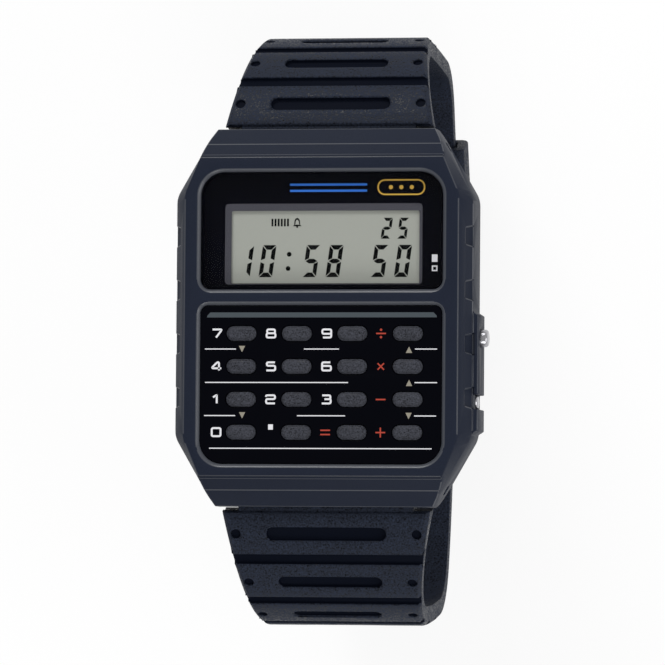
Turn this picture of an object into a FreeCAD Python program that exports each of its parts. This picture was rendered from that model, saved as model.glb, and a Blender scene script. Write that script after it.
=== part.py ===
"""Calculator wrist watch with a resin case, sixteen keys and a two-piece resin strap.

Frame: +Z out of the dial, +Y to 12 o'clock, +X to 3 o'clock, millimetres.
The origin is the centre of the case back's wrist face.
"""
import FreeCAD, Part
import math
import os
import re
import Sketcher

doc = FreeCAD.newDocument("calculator_watch")
sheet = doc.addObject("Spreadsheet::Sheet", "dims")

# Driving dimensions, in millimetres and degrees
SIZES = {
    # case outline, seen from the front
    "case_half_width": 17.15, "lip_y": 21.6, "shoulder_inset": 7.9, "lip_side_inset": 4.55,
    "case_corner_r": 3.0, "plateau_inset": 1.35, "plateau_shoulder_inset": 7.6,
    "plateau_corner_r": 3.0,
    # case heights, up from the wrist face of the back plate
    "case_bottom_z": 0.4, "face_z": 8.2, "bevel_drop": 2.2,
    # end slopes, inwards from the lip: plateau edge, foot of the step, ridge
    "slope_inset": 3.4, "step_inset": 3.15, "step_drop": 0.45, "ridge_inset": 1.9,
    "ridge_drop": 1.45, "lip_drop": 3.0,
    # windows in the face
    "window_inset": 3.2, "glass_low_y": 3.1, "glass_end_inset": 5.15, "glass_corner_r": 1.1,
    "glass_top_corner_r": 2.7, "keypad_end_inset": 4.8, "keypad_high_y": 1.26,
    "keypad_corner_r": 2.6, "keypad_top_corner_r": 0.9, "ledge_width": 0.75,
    "ledge_corner_r": 0.6, "ledge_round_r": 2.0, "glass_seat_drop": 2.0, "panel_seat_drop": 1.2,
    "rim_chamfer": 0.35,
    # space for the movement
    "cavity_side_inset": 3.25, "cavity_end_inset": 5.7, "cavity_corner_r": 4.5,
    "cavity_top_drop": 2.6, "fit_gap": 0.05, "part_gap": 0.3,
    # lugs and spring bars
    "lug_thick": 2.35, "lug_wall_inset": 4.2, "lug_roof_drop": 3.6, "bar_inset": 2.0,
    "bar_z": 2.6, "bar_r": 0.75, "bar_tip_r": 0.5, "bar_end_gap": 0.3, "bar_tip_length": 2.6,
    "lug_end_r": 2.0, "eye_wall": 1.0, "shoulder_gap_r": 2.4, "tongue_gap": 0.15,
    "tongue_reach": 3.6, "strap_swing": 18.0,
    # button side
    "guard_proud": 0.6, "guard_low_y": -12.9, "guard_high_y": 0.3, "guard_flare": 0.5,
    "mode_y": -2.3, "adjust_y": -9.6, "button_z": 3.2, "button_shaft_r": 0.5,
    "mode_head_r": 1.0, "adjust_head_r": 0.85, "mode_proud": 1.45, "adjust_proud": 0.35,
    "button_floor_inset": 2.25, "head_back_inset": 0.65, "shaft_end_inset": 3.8,
    "button_dome": 0.2, "seal_thick": 0.34, "clip_thick": 0.25, "clip_r": 0.95,
    "clip_groove_r": 0.35, "adjust_slot_half": 0.83,
    # shallow notches in the side bevels
    "notch_length": 2.45, "notch_inner_length": 1.9, "notch_pitch": 6.13, "notch_depth": 0.3,
    # front glass, seal and window mask
    "seal_height": 0.2, "glass_top_drop": 0.25, "mask_thick": 0.15, "display_x": 0.22,
    "display_y": 7.95, "display_width": 21.75, "display_height": 8.4,
    # keypad
    "panel_thick": 0.9, "key_length": 3.45, "key_width": 1.68, "key_gap": 0.08,
    "key_first_x": -9.17, "key_pitch_x": 6.4, "key_first_y": -1.95, "key_pitch_y": 3.75,
    "flange_margin_x": 0.95, "flange_margin_y": 0.92, "flange_thick": 0.45,
    "flange_drop": 0.05, "key_crown": 0.3, "dome_r": 0.8, "sheet_thick": 0.5,
    "sheet_side_inset": 1.05, "sheet_low_inset": 1.4, "sheet_high_inset": 0.86,
    "sheet_corner_r": 3.5, "sheet_top_corner_r": 0.8,
    # movement
    "board_drop": 4.0, "board_thick": 0.6, "board_corner_r": 4.4, "frame_bottom_z": 1.25,
    "cell_r": 10.0, "cell_thick": 1.6, "cell_x": -1.5, "cell_y": -5.0, "cell_z": 1.2,
    "cell_gap": 0.2, "cell_lid_inset": 1.4, "cell_step": 0.3, "lcd_drop": 0.85,
    "lcd_half_width": 11.8, "lcd_half_height": 5.3, "lcd_y": 9.8, "lcd_plate": 0.4,
    "lcd_lip": 0.8, "strip_width": 0.8, "reflector_thick": 0.12, "chip_size": 6.0,
    "chip_thick": 0.8, "chip_x": -5.5, "chip_y": 10.5, "crystal_r": 0.75,
    "crystal_length": 6.0, "crystal_x": 10.8, "crystal_y": 9.0, "pocket_gap": 0.3,
    "sounder_r": 5.2, "sounder_x": 0.0, "sounder_y": 9.9, "sounder_thick": 0.2,
    "sounder_spring_y": 10.9, "sounder_spring_r": 0.8, "sounder_wire": 0.25,
    "sounder_turns": 5.0, "film_thick": 0.1, "film_corner_r": 1.0, "clip_plate_thick": 0.15,
    "clip_plate_width": 3.0, "button_wire": 0.14, "button_spring_r": 0.76,
    "button_turns": 4.0, "contact_thick": 0.15, "contact_gap": 0.9, "contact_half_width": 0.6,
    "contact_drop": 0.8,
    # back plate
    "back_thick": 0.8, "back_side_inset": 2.15, "back_end_inset": 4.9, "back_corner_r": 2.0,
    "gasket_offset": 0.2, "gasket_width": 0.4, "gasket_height": 0.35, "screw_side_inset": 1.5,
    "screw_end_inset": 1.3, "screw_r": 0.45, "screw_head_r": 0.85, "screw_head_thick": 0.4,
    "screw_length": 2.6,
    # strap
    "strap_full_half": 8.4, "strap_flare": 4.1, "strap_flare_length": 17.7,
    "strap_flare_power": 1.08, "strap_thick": 2.25, "strap_root_thick": 2.9,
    "strap_thin_length": 20.0, "strap_edge": 0.45, "rib_pitch": 3.2, "rib_first": 5.0,
    "groove_width": 1.2, "groove_depth": 0.55, "slot_depth": 0.6, "slot_width": 1.5,
    "slot_half_length": 6.9, "slot_shrink": 0.45, "slot_least_half": 4.5, "dimple_r": 0.55,
    "dimple_inset": 1.1, "dimple_depth": 0.35, "strap_12_slope": 14.0, "strap_12_start": 1.5,
    "strap_12_bend_r": 15.9, "strap_12_side": 17.0, "strap_12_side_turn": 5.0,
    "strap_12_fold_r": 8.5, "strap_12_fold": 65.0, "keeper_track": 17.0,
    "strap_12_end": 5.2, "strap_12_end_turn": 20.0, "strap_12_tip": 1.2, "strap_6_slope": 7.0,
    "strap_6_start": 2.2, "strap_6_bend_r": 14.9, "strap_6_side": 15.0,
    "strap_6_side_turn": 7.0, "strap_6_fold_r": 10.0, "strap_6_fold": 61.0,
    "tail_r": 67.0, "tail_turn": 22.0, "tail_end_r": 45.0, "tail_end_turn": 20.0,
    "tail_straight": 10.0, "hole_r": 0.95, "hole_pitch": 5.6, "hole_inset": 1.5,
    # keeper and buckle
    "keeper_start": 4.2, "keeper_length": 6.5, "keeper_wall": 1.2, "keeper_gap": 0.15,
    "keeper_corner_r": 0.95, "buckle_bar_r": 0.6, "buckle_eye_r": 1.4, "buckle_eye_inset": 1.0,
    "tang_slot_half": 1.3, "tang_slot_reach": 1.3, "buckle_room": 0.8, "rail_width": 2.4,
    "buckle_gap": 0.3, "rail_thick": 2.6, "frame_reach": 12.6, "frame_corner_r": 1.5,
    "far_bar": 2.0, "far_bar_thick": 1.35, "bar_end_wall": 0.8, "tang_width": 2.0,
    "tang_thick": 1.0, "tang_eye_r": 1.15, "tang_overhang": 0.2, "tang_nose": 0.2,
}

# What follows from the driving dimensions, worked out by the sheet itself
FOLLOWING = {
    "case_shoulder_y": "lip_y-shoulder_inset", "lip_half_width": "case_half_width-lip_side_inset",
    "plateau_half_width": "case_half_width-plateau_inset",
    "plateau_shoulder_y": "lip_y-plateau_shoulder_inset", "bevel_z": "face_z-bevel_drop",
    "slope_y": "lip_y-slope_inset", "step_y": "lip_y-step_inset",
    "ridge_y": "lip_y-ridge_inset", "ridge_z": "face_z-ridge_drop", "lip_z": "face_z-lip_drop",
    "window_half_width": "case_half_width-window_inset",
    "glass_high_y": "lip_y-glass_end_inset", "keypad_low_y": "keypad_end_inset-lip_y",
    "glass_seat_z": "face_z-glass_seat_drop", "panel_seat_z": "face_z-panel_seat_drop",
    "glass_top_z": "face_z-glass_top_drop",
    "cavity_half_width": "case_half_width-cavity_side_inset",
    "cavity_half_length": "lip_y-cavity_end_inset", "cavity_top_z": "face_z-cavity_top_drop",
    "lug_gap_half": "lip_half_width-lug_thick", "lug_wall_y": "lip_y-lug_wall_inset",
    "lug_roof_z": "face_z-lug_roof_drop", "bar_y": "lip_y-bar_inset",
    "bar_half_length": "lug_gap_half-bar_end_gap", "eye_r": "bar_r+eye_wall",
    "guard_x": "case_half_width+guard_proud", "mode_tip_x": "case_half_width+mode_proud",
    "adjust_tip_x": "case_half_width+adjust_proud",
    "button_floor_x": "case_half_width-button_floor_inset",
    "head_back_x": "case_half_width-head_back_inset",
    "shaft_end_x": "case_half_width-shaft_end_inset",
    "flange_length": "key_length+flange_margin_x", "flange_width": "key_width+flange_margin_y",
    "sheet_half_width": "window_half_width-sheet_side_inset",
    "sheet_low_y": "keypad_low_y+sheet_low_inset", "sheet_high_y": "keypad_high_y-sheet_high_inset",
    "board_z": "face_z-board_drop", "board_half_width": "cavity_half_width-part_gap",
    "board_half_length": "cavity_half_length-part_gap", "cell_lid_r": "cell_r-cell_lid_inset",
    "lcd_z": "glass_seat_z-lcd_drop", "back_half_width": "case_half_width-back_side_inset",
    "back_half_length": "lip_y-back_end_inset", "screw_x": "back_half_width-screw_side_inset",
    "screw_y": "back_half_length-screw_end_inset",
}

# Grooves and slots on each strap half, counted together, and the holes in the tail
RIBS_12 = 9
RIBS_6 = 11
HOLES = 7

rows = {alias: str(value) for alias, value in SIZES.items()}
rows.update({alias: f"={formula}" for alias, formula in FOLLOWING.items()})
for row, (alias, content) in enumerate(rows.items(), start=1):
    sheet.set(f"A{row}", alias.replace("_", " "))
    sheet.setAlias(f"B{row}", alias)
for row, content in enumerate(rows.values(), start=1):
    sheet.set(f"B{row}", content)
doc.recompute()


def size(alias):
    """Read one driving dimension from the sheet."""
    return float(sheet.get(alias))


def bound(text):
    """Turn a formula over aliases into an expression over the sheet."""
    return re.sub(r"\b([a-z][a-z0-9_]*[a-z0-9])\b",
                  lambda m: f"dims.{m[1]}" if m[1] in rows else m[1], str(text))


def value_of(text):
    """Work out such a formula as a number."""
    names = {alias: size(alias) for alias in rows}
    tokens = re.findall(r"[a-z][a-z0-9_]*|[0-9.]+|[-+*/()]", str(text))
    return calculate([names.get(token, token) for token in tokens])


def calculate(tokens):
    """Add, subtract, multiply and divide a list of numbers and signs."""
    def factor():
        token = tokens.pop(0)
        if token == "-":
            return -factor()
        if token == "(":
            inner = total()
            tokens.pop(0)
            return inner
        return float(token)

    def term():
        result = factor()
        while tokens and tokens[0] in ("*", "/"):
            sign = tokens.pop(0)
            result = result * factor() if sign == "*" else result / factor()
        return result

    def total():
        result = term()
        while tokens and tokens[0] in ("+", "-"):
            sign = tokens.pop(0)
            result = result + term() if sign == "+" else result - term()
        return result

    return total()


# The finished sub-parts, in the order in which they are made
finished = []


def keep(item, label):
    """Give a finished sub-part its name."""
    item.Label = label
    finished.append(item)
    return item


def unique(stem):
    return f"{stem}_{len(doc.Objects)}"


# Primitives whose sizes are bound to the sheet
def block(x0, x1, y0, y1, z0, z1):
    """A box between six bound planes."""
    item = doc.addObject("Part::Box", unique("block"))
    item.setExpression("Length", bound(f"({x1})-({x0})"))
    item.setExpression("Width", bound(f"({y1})-({y0})"))
    item.setExpression("Height", bound(f"({z1})-({z0})"))
    item.setExpression("Placement.Base.x", bound(x0))
    item.setExpression("Placement.Base.y", bound(y0))
    item.setExpression("Placement.Base.z", bound(z0))
    return item


def rod(radius, length, x, y, z, axis="z"):
    """A cylinder along one axis from a bound point."""
    item = doc.addObject("Part::Cylinder", unique("rod"))
    item.setExpression("Radius", bound(radius))
    item.setExpression("Height", bound(length))
    turn = {"z": FreeCAD.Rotation(), "x": FreeCAD.Rotation(FreeCAD.Vector(0, 1, 0), 90),
            "y": FreeCAD.Rotation(FreeCAD.Vector(1, 0, 0), -90)}[axis]
    item.Placement = FreeCAD.Placement(FreeCAD.Vector(), turn)
    item.setExpression("Placement.Base.x", bound(x))
    item.setExpression("Placement.Base.y", bound(y))
    item.setExpression("Placement.Base.z", bound(z))
    return item


def fuse(*items):
    result = doc.addObject("Part::MultiFuse", unique("fuse"))
    result.Shapes = list(items)
    return result


def group(*items):
    """Separate solids that share one node."""
    result = doc.addObject("Part::Compound", unique("group"))
    result.Links = list(items)
    return result


def cut(base, *tools):
    tool = tools[0] if len(tools) == 1 else fuse(*tools)
    result = doc.addObject("Part::Cut", unique("cut"))
    result.Base = base
    result.Tool = tool
    return result


# Bodies with sketches
def new_body(label):
    body = doc.addObject("PartDesign::Body", label)
    return keep(body, label)


def sketch_on(body, plane, offset="0"):
    """A sketch on one of the body's own origin planes, moved along the plane's normal."""
    sketch = body.newObject("Sketcher::SketchObject", unique("sketch"))
    support = next(f for f in body.Origin.OriginFeatures if f.Role == plane)
    sketch.AttachmentSupport = [(support, "")]
    sketch.MapMode = "FlatFace"
    sketch.setExpression("AttachmentOffset.Base.z", bound(offset))
    return sketch


def at_point(sketch, geometry, position, x, y):
    """Pin one sketch point to bound coordinates."""
    for kind, text in (("DistanceX", x), ("DistanceY", y)):
        number = value_of(text)
        index = sketch.addConstraint(Sketcher.Constraint(kind, -1, 1, geometry, position, number))
        sketch.setExpression(f"Constraints[{index}]", bound(text))


def outline(sketch, corners, radii=None):
    """A closed polygon through bound corners, each with an optional bound radius."""
    points = [FreeCAD.Vector(value_of(x), value_of(y), 0) for x, y in corners]
    radii = radii or [None] * len(points)
    rounds = [value_of(r) if r else 0.0 for r in radii]
    count = len(points)
    starts, ends, arcs = [], [], []
    for i, point in enumerate(points):
        before = (points[i - 1] - point).normalize()
        after = (points[(i + 1) % count] - point).normalize()
        half = before.getAngle(after) / 2
        reach = rounds[i] / math.tan(half)
        starts.append(point + after * reach)
        ends.append(point + before * reach)
        middle = point + (before + after).normalize() * (rounds[i] / math.sin(half))
        arcs.append(middle)
    lines = []
    for i in range(count):
        line = Part.LineSegment(starts[i], ends[(i + 1) % count])
        lines.append(sketch.addGeometry(line, False))
    for i, (x, y) in enumerate(corners):
        into, out = lines[i - 1], lines[i]
        if not radii[i]:
            sketch.addConstraint(Sketcher.Constraint("Coincident", into, 2, out, 1))
            at_point(sketch, out, 1, x, y)
            continue
        middle, first, last = arcs[i], ends[i] - arcs[i], starts[i] - arcs[i]
        turn = first.cross(last).z
        begin, finish = (first, last) if turn > 0 else (last, first)
        circle = Part.Circle(middle, FreeCAD.Vector(0, 0, 1), rounds[i])
        arc = Part.ArcOfCircle(circle, math.atan2(begin.y, begin.x),
                               math.atan2(finish.y, finish.x))
        curve = sketch.addGeometry(arc, False)
        entry, leave = (1, 2) if turn > 0 else (2, 1)
        sketch.addConstraint(Sketcher.Constraint("Tangent", into, 2, curve, entry))
        sketch.addConstraint(Sketcher.Constraint("Tangent", curve, leave, out, 1))
        index = sketch.addConstraint(Sketcher.Constraint("Radius", curve, rounds[i]))
        sketch.setExpression(f"Constraints[{index}]", bound(radii[i]))
        corner = sketch.addGeometry(Part.Point(points[i]), True)
        at_point(sketch, corner, 1, x, y)
        sketch.addConstraint(Sketcher.Constraint("PointOnObject", corner, 1, into))
        sketch.addConstraint(Sketcher.Constraint("PointOnObject", corner, 1, out))
    return sketch


def rectangle(sketch, x0, x1, y0, y1, radius=None, top_radius=None):
    """A rectangle with bound sides and rounded corners."""
    radii = [radius, radius, top_radius or radius, top_radius or radius] if radius else None
    return outline(sketch, [(x0, y0), (x1, y0), (x1, y1), (x0, y1)], radii)


def circle(sketch, x, y, radius):
    centre = FreeCAD.Vector(value_of(x), value_of(y), 0)
    ring = Part.Circle(centre, FreeCAD.Vector(0, 0, 1), value_of(radius))
    index = sketch.addGeometry(ring, False)
    at_point(sketch, index, 3, x, y)
    constraint = sketch.addConstraint(Sketcher.Constraint("Radius", index, value_of(radius)))
    sketch.setExpression(f"Constraints[{constraint}]", bound(radius))


def stadium(sketch, x, y, length, width):
    """A slot with round ends, its long side along X."""
    cx, cy, r = value_of(x), value_of(y), value_of(width) / 2
    half = value_of(length) / 2 - r
    up = FreeCAD.Vector(0, 0, 1)
    right = Part.ArcOfCircle(Part.Circle(FreeCAD.Vector(cx + half, cy, 0), up, r),
                             -math.pi / 2, math.pi / 2)
    left = Part.ArcOfCircle(Part.Circle(FreeCAD.Vector(cx - half, cy, 0), up, r),
                            math.pi / 2, 3 * math.pi / 2)
    top = Part.LineSegment(FreeCAD.Vector(cx + half, cy + r, 0), FreeCAD.Vector(cx - half, cy + r, 0))
    low = Part.LineSegment(FreeCAD.Vector(cx - half, cy - r, 0), FreeCAD.Vector(cx + half, cy - r, 0))
    a, b, c, d = (sketch.addGeometry(item, False) for item in (right, top, left, low))
    for first, second in ((a, b), (b, c), (c, d), (d, a)):
        sketch.addConstraint(Sketcher.Constraint("Tangent", first, 2, second, 1))
    at_point(sketch, a, 3, f"{x}+({length}-{width})/2", y)
    at_point(sketch, c, 3, f"{x}-({length}-{width})/2", y)
    index = sketch.addConstraint(Sketcher.Constraint("Radius", a, r))
    sketch.setExpression(f"Constraints[{index}]", bound(f"({width})/2"))


def feature(body, kind, sketch, length, reverse=False, midplane=False, through=False):
    """A pad or pocket of bound length; its direction is proved by the change of volume."""
    before = body.Shape.Volume if body.Shape and not body.Shape.isNull() else 0.0
    item = body.newObject(f"PartDesign::{kind}", unique(kind.lower()))
    item.Profile = sketch
    item.Reversed = reverse
    item.Midplane = midplane
    if through:
        item.Type = 1
    else:
        item.setExpression("Length", bound(length))
    doc.recompute()
    change = item.Shape.Volume - before
    if (change > 0) != (kind == "Pad") or abs(change) < 1e-4:
        raise ValueError(f"{body.Label}: a {kind} changed the volume by {change:.4f}")
    return item


def pad(body, sketch, length, **options):
    return feature(body, "Pad", sketch, length, **options)


def pocket(body, sketch, length, **options):
    return feature(body, "Pocket", sketch, length, **options)


def plate(label, x0, x1, y0, y1, z0, thick, radius=None, top_radius=None):
    """A flat plate with rounded corners, as a body."""
    body = new_body(label)
    sketch = rectangle(sketch_on(body, "XY_Plane", z0), x0, x1, y0, y1, radius, top_radius)
    pad(body, sketch, thick)
    return body


def octagon(half_width, shoulder, half_lip, lip):
    """Corners of the case outline, anticlockwise from the lower lip."""
    quarter = [(half_lip, f"-{lip}"), (half_width, f"-{shoulder}"), (half_width, shoulder),
               (half_lip, lip)]
    return quarter + [(f"-{x}", y) for x, y in reversed(quarter)]


# The resin case: an octagonal block with bevelled sides, sloped ends and forked lugs
def make_case():
    body = new_body("case_body")
    rounds = [None, "case_corner_r", "case_corner_r", None] * 2
    plan = octagon("case_half_width", "case_shoulder_y", "lip_half_width", "lip_y")
    base = outline(sketch_on(body, "XY_Plane", "case_bottom_z"), plan, rounds)
    pad(body, base, "bevel_z-case_bottom_z")
    case_bevel(body, plan, rounds)
    case_slopes(body)
    case_guard(body)
    case_windows(body)
    case_cavity(body)
    case_lugs(body)
    case_button_holes(body)
    case_notches(body)
    case_rims(body)


def case_bevel(body, plan, rounds):
    """The upper part leans in from the outline to the flat face."""
    low = outline(sketch_on(body, "XY_Plane", "bevel_z"), plan, rounds)
    top_rounds = [None, "plateau_corner_r", "plateau_corner_r", None] * 2
    top_plan = octagon("plateau_half_width", "plateau_shoulder_y", "lip_half_width", "lip_y")
    high = outline(sketch_on(body, "XY_Plane", "face_z"), top_plan, top_rounds)
    loft = body.newObject("PartDesign::AdditiveLoft", "side_bevel")
    loft.Profile = low
    loft.Sections = [high]
    loft.Ruled = True
    doc.recompute()


def case_slopes(body):
    """Both ends fall from the face over a small step and a ridge to the lip."""
    sketch = sketch_on(body, "YZ_Plane")
    for side in ("", "-"):
        corners = [(f"{side}slope_y", "face_z+1"), (f"{side}slope_y", "face_z"),
                   (f"{side}step_y", "face_z-step_drop"), (f"{side}ridge_y", "ridge_z"),
                   (f"{side}lip_y", "lip_z"), (f"{side}(lip_y+1)", "lip_z"),
                   (f"{side}(lip_y+1)", "face_z+1")]
        outline(sketch, corners)
    pocket(body, sketch, "case_half_width*3", midplane=True)


def case_guard(body):
    """A low guard stands out round the two side buttons, flared at its ends."""
    sketch = sketch_on(body, "XY_Plane", "case_bottom_z+part_gap")
    inner = "case_half_width-1"
    outline(sketch, [(inner, "guard_low_y-guard_flare*2"), ("guard_x", "guard_low_y"),
                     ("guard_x", "adjust_y-adjust_slot_half"),
                     ("guard_x-guard_flare", "adjust_y-adjust_slot_half"),
                     ("guard_x-guard_flare", "adjust_y+adjust_slot_half"),
                     ("guard_x", "adjust_y+adjust_slot_half"),
                     ("guard_x", "guard_high_y"), (inner, "guard_high_y+guard_flare*2")])
    pad(body, sketch, "bevel_z-case_bottom_z-part_gap*2")


def case_windows(body):
    """The glass and the key panel lie in two recesses with ledges."""
    glass = sketch_on(body, "XY_Plane", "face_z")
    window = ("-window_half_width", "window_half_width")
    rectangle(glass, *window, "glass_low_y", "glass_high_y", "glass_corner_r", "glass_top_corner_r")
    pocket(body, glass, "face_z-glass_seat_z")
    keys = sketch_on(body, "XY_Plane", "face_z")
    rectangle(keys, *window, "keypad_low_y", "keypad_high_y", "keypad_corner_r",
              "keypad_top_corner_r")
    pocket(body, keys, "face_z-panel_seat_z")
    inner = ("-window_half_width+ledge_width", "window_half_width-ledge_width")
    sight = sketch_on(body, "XY_Plane", "glass_seat_z")
    rectangle(sight, *inner, "glass_low_y+ledge_width", "glass_high_y-ledge_width",
              "ledge_corner_r", "ledge_round_r")
    pocket(body, sight, "glass_seat_z-cavity_top_z+1")
    well = sketch_on(body, "XY_Plane", "panel_seat_z")
    rectangle(well, *inner, "keypad_low_y+ledge_width*1.5", "keypad_high_y-ledge_width",
              "ledge_round_r", "ledge_corner_r")
    pocket(body, well, "panel_seat_z-cavity_top_z+1")


def case_cavity(body):
    """The movement's space opens to the wrist side, with a seat for the back plate."""
    space = sketch_on(body, "XY_Plane", "0")
    rectangle(space, "-cavity_half_width", "cavity_half_width", "-cavity_half_length",
              "cavity_half_length", "cavity_corner_r")
    pocket(body, space, "cavity_top_z", reverse=True)
    seat = sketch_on(body, "XY_Plane", "0")
    rectangle(seat, "-back_half_width-fit_gap", "back_half_width+fit_gap",
              "-back_half_length-fit_gap", "back_half_length+fit_gap", "back_corner_r")
    pocket(body, seat, "back_thick", reverse=True)
    groove = sketch_on(body, "XY_Plane", "0")
    for grow in ("gasket_offset", "(gasket_offset+gasket_width)"):
        rectangle(groove, f"-cavity_half_width-{grow}", f"cavity_half_width+{grow}",
                  f"-cavity_half_length-{grow}", f"cavity_half_length+{grow}",
                  f"cavity_corner_r+{grow}")
    pocket(body, groove, "back_thick+gasket_height", reverse=True)
    holes = sketch_on(body, "XY_Plane", "0")
    for x, y in corner_points("screw_x", "screw_y"):
        circle(holes, x, y, "screw_r+fit_gap")
    pocket(body, holes, "back_thick+screw_length", reverse=True)


def corner_points(x, y):
    return [(f"{a}{x}", f"{b}{y}") for a in ("", "-") for b in ("", "-")]


def case_lugs(body):
    """The strap's tongue swings between two lugs that hold the spring bar."""
    fork = sketch_on(body, "XY_Plane", "0")
    rectangle(fork, "-lug_gap_half", "lug_gap_half", "lug_wall_y", "lip_y+1")
    rectangle(fork, "-lug_gap_half", "lug_gap_half", "-lip_y-1", "-lug_wall_y")
    pocket(body, fork, "lug_roof_z", reverse=True)
    ends = sketch_on(body, "YZ_Plane")
    for side in ("", "-"):
        lug_end(ends, side)
    pocket(body, ends, "case_half_width*3", midplane=True)
    bores = sketch_on(body, "YZ_Plane")
    for side in ("", "-"):
        circle(bores, f"{side}bar_y", "bar_z", "bar_tip_r+fit_gap")
    pocket(body, bores, "case_half_width*3", midplane=True)


def lug_end(sketch, side):
    """The corner outside a round lug end, with the bar's axis as its centre."""
    outline(sketch, [(f"{side}bar_y", "bar_z-lug_end_r"), (f"{side}bar_y", "bar_z-lug_end_r-2"),
                     (f"{side}(bar_y+lug_end_r+2)", "bar_z-lug_end_r-2"),
                     (f"{side}(bar_y+lug_end_r+2)", "bar_z"),
                     (f"{side}(bar_y+lug_end_r)", "bar_z"),
                     (f"{side}(bar_y+lug_end_r)", "bar_z-lug_end_r")],
            [None, None, None, None, None, "lug_end_r-0.01"])


def case_button_holes(body):
    """Each button has a guide bore and a wider counterbore for its head and spring."""
    guides = sketch_on(body, "YZ_Plane", "cavity_half_width-1")
    for y in ("mode_y", "adjust_y"):
        circle(guides, y, "button_z", "button_shaft_r+fit_gap")
    pocket(body, guides, "6", reverse=True)
    heads = sketch_on(body, "YZ_Plane", "button_floor_x")
    circle(heads, "mode_y", "button_z", "mode_head_r+fit_gap")
    circle(heads, "adjust_y", "button_z", "adjust_head_r+fit_gap")
    pocket(body, heads, "6", reverse=True)


def case_notches(body):
    """Four shallow notches run down each side bevel."""
    sketch = sketch_on(body, "XY_Plane")
    run = size("case_half_width") - size("plateau_half_width")
    rise = size("face_z") - size("bevel_z")
    lean = math.degrees(math.atan2(rise, run))
    sketch.AttachmentOffset = FreeCAD.Placement(
        FreeCAD.Vector(size("case_half_width"), 0, size("bevel_z")),
        FreeCAD.Rotation(FreeCAD.Vector(0, 1, 0), lean))
    sketch.setExpression("AttachmentOffset.Base.x", bound("case_half_width"))
    sketch.setExpression("AttachmentOffset.Base.z", bound("bevel_z"))
    half_bevel = math.hypot(run, rise) / 2
    for step in ("-1.5", "-0.5", "0.5", "1.5"):
        middle = f"notch_pitch*({step})"
        outline(sketch, [(f"-{half_bevel:.3f}", f"{middle}-notch_inner_length/2"),
                         ("0.4", f"{middle}-notch_length/2"), ("0.4", f"{middle}+notch_length/2"),
                         (f"-{half_bevel:.3f}", f"{middle}+notch_inner_length/2")])
    first = pocket(body, sketch, "notch_depth")
    mirror = body.newObject("PartDesign::Mirrored", "notch_mirror")
    mirror.Originals = [first]
    plane = next(f for f in body.Origin.OriginFeatures if f.Role == "YZ_Plane")
    mirror.MirrorPlane = (plane, [""])
    body.Tip = mirror
    doc.recompute()


def case_rims(body):
    """A small chamfer makes the bright rim round each window."""
    top = size("face_z")
    limit = size("window_half_width") + 0.1
    names = []
    for number, edge in enumerate(body.Shape.Edges, start=1):
        box = edge.BoundBox
        flat = abs(box.ZMin - top) < 1e-4 and abs(box.ZMax - top) < 1e-4
        if flat and max(abs(box.XMin), abs(box.XMax)) < limit and max(abs(box.YMin), abs(box.YMax)) < 17:
            names.append(f"Edge{number}")
    last = body.Tip
    chamfer = body.newObject("PartDesign::Chamfer", "rim_chamfer_edges")
    chamfer.Base = (last, names)
    chamfer.setExpression("Size", bound("rim_chamfer"))
    doc.recompute()


# Front glass on its seal, with the printed mask behind it
def make_glass():
    gap = "fit_gap"
    wide = (f"-window_half_width+{gap}", f"window_half_width-{gap}")
    tall = (f"glass_low_y+{gap}", f"glass_high_y-{gap}")
    rounds = (f"glass_corner_r-{gap}", f"glass_top_corner_r-{gap}")
    glass = plate("front_glass", *wide, *tall, "glass_seat_z+seal_height",
                  "glass_top_z-glass_seat_z-seal_height", *rounds)
    seal = plate("glass_seal", *wide, *tall, "glass_seat_z", "seal_height", *rounds)
    hole = sketch_on(seal, "XY_Plane", "glass_seat_z")
    rectangle(hole, "-window_half_width+ledge_width", "window_half_width-ledge_width",
              "glass_low_y+ledge_width", "glass_high_y-ledge_width", "ledge_corner_r", "ledge_round_r")
    pocket(seal, hole, "seal_height", reverse=True)
    inset = "(ledge_width+fit_gap*2)"
    mask = plate("window_mask", f"-window_half_width+{inset}", f"window_half_width-{inset}",
                 f"glass_low_y+{inset}", f"glass_high_y-{inset}",
                 "glass_seat_z+seal_height-mask_thick", "mask_thick", "ledge_corner_r-fit_gap*2",
                 "ledge_round_r-fit_gap*2")
    sight = sketch_on(mask, "XY_Plane", "glass_seat_z")
    rectangle(sight, "display_x-display_width/2", "display_x+display_width/2",
              "display_y-display_height/2", "display_y+display_height/2")
    pocket(mask, sight, "seal_height*2", reverse=True)
    return glass


# Key panel, keys and the rubber sheet under them
KEY_ROWS = [["7", "8", "9", "divide"], ["4", "5", "6", "times"], ["1", "2", "3", "minus"],
            ["0", "point", "equals", "plus"]]


def key_place(column, line):
    return f"key_first_x+key_pitch_x*{column}", f"key_first_y-key_pitch_y*{line}"


def make_keypad():
    panel = plate("keypad_panel", "-window_half_width+fit_gap", "window_half_width-fit_gap",
                  "keypad_low_y+fit_gap", "keypad_high_y-fit_gap", "panel_seat_z", "panel_thick",
                  "keypad_corner_r-fit_gap", "keypad_top_corner_r-fit_gap")
    holes = sketch_on(panel, "XY_Plane", "panel_seat_z")
    rubber = plate("key_rubber_sheet", "-sheet_half_width", "sheet_half_width", "sheet_low_y",
                   "sheet_high_y", "board_z+board_thick", "sheet_thick", "sheet_corner_r",
                   "sheet_top_corner_r")
    domes = sketch_on(rubber, "XY_Plane", "board_z+board_thick+sheet_thick")
    for line, names in enumerate(KEY_ROWS):
        for column, name in enumerate(names):
            x, y = key_place(column, line)
            stadium(holes, x, y, "(key_length+key_gap*2)", "(key_width+key_gap*2)")
            circle(domes, x, y, "dome_r")
            make_key(f"key_{name}", x, y)
    pocket(panel, holes, "panel_thick*2", reverse=True)
    pad(rubber, domes, "panel_seat_z-flange_drop-flange_thick-board_z-board_thick-sheet_thick")


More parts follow.
